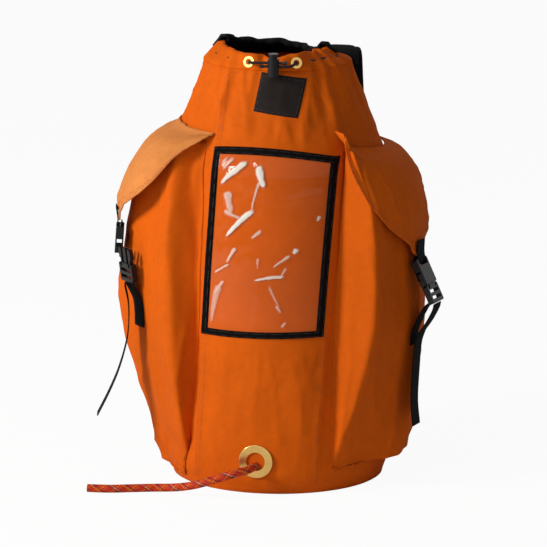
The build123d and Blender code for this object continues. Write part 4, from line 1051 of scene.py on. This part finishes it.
def braided_tube(name, route, radius, stuff, carriers, lay, right_yarns, left_yarns, around=48, step=0.0008):
    """A kernmantle sheath: two sets of yarns wind opposite ways over and under each other, their colours darkened by
    painted shade where they dip under.
    """
    line, length = even_line(cord_line(name, route), step)
    side = None
    points, colours_with_painted_shading, faces, uvs = [], [], [], []
    for i, p in enumerate(line):
        ahead = (line[min(i + 1, len(line) - 1)] - line[max(i - 1, 0)]).normalized()
        if side is None:
            side = ahead.cross(UP).normalized()
        side = (side - ahead * side.dot(ahead)).normalized()
        other = ahead.cross(side)
        along = length * i / (len(line) - 1)
        for j in range(around):
            turn = j / around
            right = carriers * (turn + along / lay)
            left = carriers * (turn - along / lay)
            over_right = (floor(right) + floor(left)) % 2 == 0
            strand = right if over_right else left
            yarns = right_yarns if over_right else left_yarns
            crown = sin(pi * (right % 1)) * sin(pi * (left % 1))
            r = radius * (0.955 + 0.05 * crown)
            t = 2 * pi * turn
            points.append((p + side * (r * cos(t)) + other * (r * sin(t))) / MM)
            # painted shade: the colour darkens where the yarns dip under one another, between their crowns
            painted_shade = 0.62 + 0.38 * crown
            colours_with_painted_shading.append([c * painted_shade for c in yarns[floor(strand) % len(yarns)]])
            uvs.append((turn * 2 * pi * radius, along))
    for i in range(len(line) - 1):
        for j in range(around):
            k, n = i * around, (j + 1) % around
            faces.append((k + j, k + n, k + around + n, k + around + j))
    first, last = tuple(range(around)), tuple(range((len(line) - 1) * around, len(line) * around))
    faces += [first[::-1], last]
    piece = piece_from(name, points, faces, uvs, stuff)
    paint = piece.data.color_attributes.new("yarn_with_painted_shading", "FLOAT_COLOR", "POINT")
    for k, painted_shade in enumerate(colours_with_painted_shading):
        paint.data[k].color = (*painted_shade, 1)
    rework(piece)
    return piece, line, length


rope_points = [(0.0, -0.1395, 0.0409), (-0.002, -0.162, 0.041), (-0.022, -0.177, 0.038), (-0.050, -0.178, 0.028),
               (-0.078, -0.171, 0.017), (-0.106, -0.158, 0.009), (-0.136, -0.152, 0.0057), (-0.168, -0.162, 0.0057),
               (-0.198, -0.172, 0.0057), (-0.224, -0.1725, 0.0057)]
red, flame, gold = (0.58, 0.024, 0.008), (0.70, 0.09, 0.006), (0.74, 0.30, 0.02)
ink, chalk = (0.010, 0.010, 0.03), (0.52, 0.36, 0.22)
rope, rope_line, rope_length = braided_tube(
    "rope_end", rope_points, 0.0055, rope_sheath, 16, 0.042,
    [red, red, flame, red, gold, red, flame, red, red, ink, red, flame, red, gold, red, red],
    [red, flame, red, red, ink, chalk, red, red, flame, red, red, gold, red, ink, red, flame],
)
dress(rope, "bag", "kernmantle_rope", "rope_tail")

hem_front = {-22.0: -0.0813, 41.0: -0.0760}
free_y = -0.09536
for name, x, end, level in (("left", -22.0, 27.5, 2.5), ("right", 41.0, 0.5, -2.5)):
    way = 1 if end > x else -1
    route = [(x * MM, hem_front[x] + 0.003, 0.577), ((x + way) * MM, free_y + 0.001, 0.577 + level * 0.0005),
             ((x + way * 14) * MM, free_y, 0.577 + level * MM), (end * MM, free_y, 0.577 + level * MM)]
    cord, line, length = braided_tube(name + "_drawcord", route, 0.0018, drawcord_black, 8, 0.012,
                                      [(0.015, 0.015, 0.016)], [(0.02, 0.02, 0.021)], around=24, step=0.0006)
    dress(cord, "bag", "drawcord_black", "drawcord_free_ends")
    bpy.ops.object.select_all(action="DESELECT")
    bpy.ops.mesh.primitive_cylinder_add(vertices=28, radius=0.0024, depth=0.005, rotation=(0, pi / 2, 0),
                                        location=((end + way * 2.4) * MM, free_y, 0.577 + level * MM))
    tip = bpy.context.object
    tip.name = name + "_cord_tip"
    bpy.ops.object.transform_apply(location=True, rotation=True, scale=True)
    edge = tip.modifiers.new("Edge", "BEVEL")
    edge.width = 0.0005
    edge.segments = 3
    apply_all(tip)
    bpy.ops.object.shade_smooth_by_angle(angle=radians(40))
    tip.data.materials.append(moulded_black)
    dress(tip, "bag", "black_acetal")

# ---------------------------------------------------------------- thread
wall_lines = []
for side in (-1, 1):
    for inset in (2.2, 7.0):
        line = []
        z = 14.0
        while z < 562:
            line.append(front_at(panel_middle(z) + side * (panel_half - inset), z, 0.1))
            z += 5
        wall_lines.append(line)
        wall_lines.append([back_at(side * (85 - inset), z, 0.1) for z in range(14, 560, 5)])
wall_lines.append([wall_at(t, 562.0, 0.1) for t in turns + turns[:1]])
wall_thread = stitches("wall_thread", wall_lines, orange_thread)
dress(wall_thread, "bag", "orange_cordura")

dark_lines = []
for inset in (1.9, 7.1):
    loop = []
    points = frame_loop(inset, 2.6, step=4.0)
    for p in points + points[:1]:
        around = atan2(p[1] / 143, p[0] / 151)
        loop.append((p, (cos(around) / 151, sin(around) / 143, 0)))
    dark_lines.append(loop)
inset_half = (label_half[0] - 3.6, label_half[1] - 3.6)
corners = [(-1, -1), (1, -1), (1, 1), (-1, 1), (-1, -1)]
for (a, b), (c, d) in zip(corners, corners[1:]):
    edge_line = []
    for k in range(11):
        s = (a + (c - a) * k / 10) * inset_half[0]
        h = (b + (d - b) * k / 10) * inset_half[1]
        edge_line.append(front_at(*patch_place(s, h, label_middle, label_tilt), 1.1))
    dark_lines.append(edge_line)
dark_stitching = stitches("dark_stitching", dark_lines, dark_thread, length=2.2, gap=1.0, width=0.6, height=0.35)
dress(dark_stitching, "bag", "black_binding")


def rows_thread(name, rows, facing):
    """Orange stitches along rows of points, standing off the way that facing gives."""
    lines = []
    for row in rows:
        line = []
        for p in map(Vector, row):
            out = Vector(facing(p)).normalized()
            line.append((p + out * 0.15, out))
        lines.append(line)
    return stitches(name, lines, orange_thread)


for name, rows in (("left", left_rows), ("right", right_rows)):
    mouth_thread = rows_thread(name + "_mouth_thread", rows[2:4], lambda p: (p.x, p.y * 0.9, 0))
    dress(mouth_thread, "bag", "orange_cordura")
for name, side, rows, hinge in (("left", -1, left_flap_rows, left_hinge), ("right", 1, right_flap_rows, right_hinge)):
    edge_rows = [rows[-3][2:-2], rows[-5][2:-2]]
    edge_thread = rows_thread(name + "_edge_thread", edge_rows, lambda p: (p.x - side * 110, p.y * 0.8, 8))
    bend_at_hinge(edge_thread)

# ---------------------------------------------------------------- finishes of the CAD pieces
finishes = {
    "rope_grommet": brass, "rope_grommet_washer": brass, "cord_eyelets": brass, "cord_lock_spring": steel,
    "rope_stopper": knot_sheath, "cord_lock_body": moulded_black,
    "cord_lock_button": moulded_black, "left_ladder_lock": moulded_black, "right_ladder_lock": moulded_black,
}
for side_name in ("left", "right"):
    for ending in ("buckle_socket", "buckle_plug", "buckle_prong_a", "buckle_prong_b"):
        finishes[side_name + "_" + ending] = moulded_black
for name, stuff in finishes.items():
    kept = frame["nodes"][name]
    kept.data.materials.clear()
    kept.data.materials.append(stuff)

# the spring in the cord lock gets a mesh of its own; nothing here shortens it
spring = frame["nodes"]["cord_lock_spring"]
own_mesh(spring)

# ---------------------------------------------------------------- floor, light, camera
bpy.ops.object.select_all(action="DESELECT")
bpy.ops.mesh.primitive_plane_add(size=80, location=(0, 0, 0))
floor_sheet = bpy.context.object
floor_sheet.name = "floor_sheet"
floor_paint = material("floor_paint", (0.86, 0.86, 0.86), 0.9)
seen = node(floor_paint, "ShaderNodeLightPath")
plain = node(floor_paint, "ShaderNodeEmission", Strength=1.0)
blend_floor = node(floor_paint, "ShaderNodeMixShader")
share = reckon(floor_paint, "MULTIPLY", 0.94)
link(floor_paint, seen.outputs["Is Camera Ray"], share.inputs[0])
link(floor_paint, share.outputs[0], blend_floor.inputs["Fac"])
link(floor_paint, floor_paint.node_tree.nodes["Principled BSDF"].outputs["BSDF"], blend_floor.inputs[1])
link(floor_paint, plain.outputs["Emission"], blend_floor.inputs[2])
link(floor_paint, blend_floor.outputs["Shader"], surface(floor_paint))
floor_sheet.data.materials.append(floor_paint)

# the world lights the bag dimly, and shows the white backdrop to the rays that see it
world = bpy.context.scene.world or bpy.data.worlds.new("studio")
bpy.context.scene.world = world
world.use_nodes = True
world.node_tree.nodes.clear()
output = node(world, "ShaderNodeOutputWorld")
room = node(world, "ShaderNodeBackground", Color=(1.0, 0.98, 0.96, 1), Strength=0.24)
backdrop = node(world, "ShaderNodeBackground", Strength=1.0)
eye = node(world, "ShaderNodeLightPath")
pick = node(world, "ShaderNodeMixShader")
shiny, shown = reckon(world, "MAXIMUM"), reckon(world, "MAXIMUM")
for start, end in (
    (eye.outputs["Is Glossy Ray"], shiny.inputs[0]), (eye.outputs["Is Transmission Ray"], shiny.inputs[1]),
    (eye.outputs["Is Camera Ray"], shown.inputs[0]), (shiny.outputs[0], shown.inputs[1]),
    (shown.outputs[0], pick.inputs["Fac"]), (room.outputs["Background"], pick.inputs[1]),
    (backdrop.outputs["Background"], pick.inputs[2]), (pick.outputs["Shader"], output.inputs["Surface"]),
):
    link(world, start, end)

target = Vector((-0.006, 0, 0.272))


def aimed(name, data, place):
    """Puts a lamp or a camera at a place, turned to the target."""
    holder = bpy.data.objects.new(name, data)
    bpy.context.scene.collection.objects.link(holder)
    holder.location = place
    holder.rotation_euler = (target - holder.location).to_track_quat("-Z", "Y").to_euler()
    return holder


for name, place, size, power, colour in (
    ("key", (-1.85, -1.45, 1.35), 0.62, 56, (1.0, 0.97, 0.93)),
    ("front_strip", (-0.75, -2.3, 2.0), 0.3, 9, (1, 1, 1)),
):
    light = bpy.data.lights.new(name, "AREA")
    light.size = size
    light.energy = power
    light.color = colour
    aimed(name, light, place)

eye_turn, eye_rise, distance = radians(12), radians(13), 7.0
camera_data = bpy.data.cameras.new("eye")
camera_data.sensor_width = 36
camera_data.lens = 341
from_target = Vector((sin(eye_turn) * cos(eye_rise), -cos(eye_turn) * cos(eye_rise), sin(eye_rise)))
bpy.context.scene.camera = aimed("eye", camera_data, target + distance * from_target)
bpy.context.scene.view_settings.view_transform = "Standard"
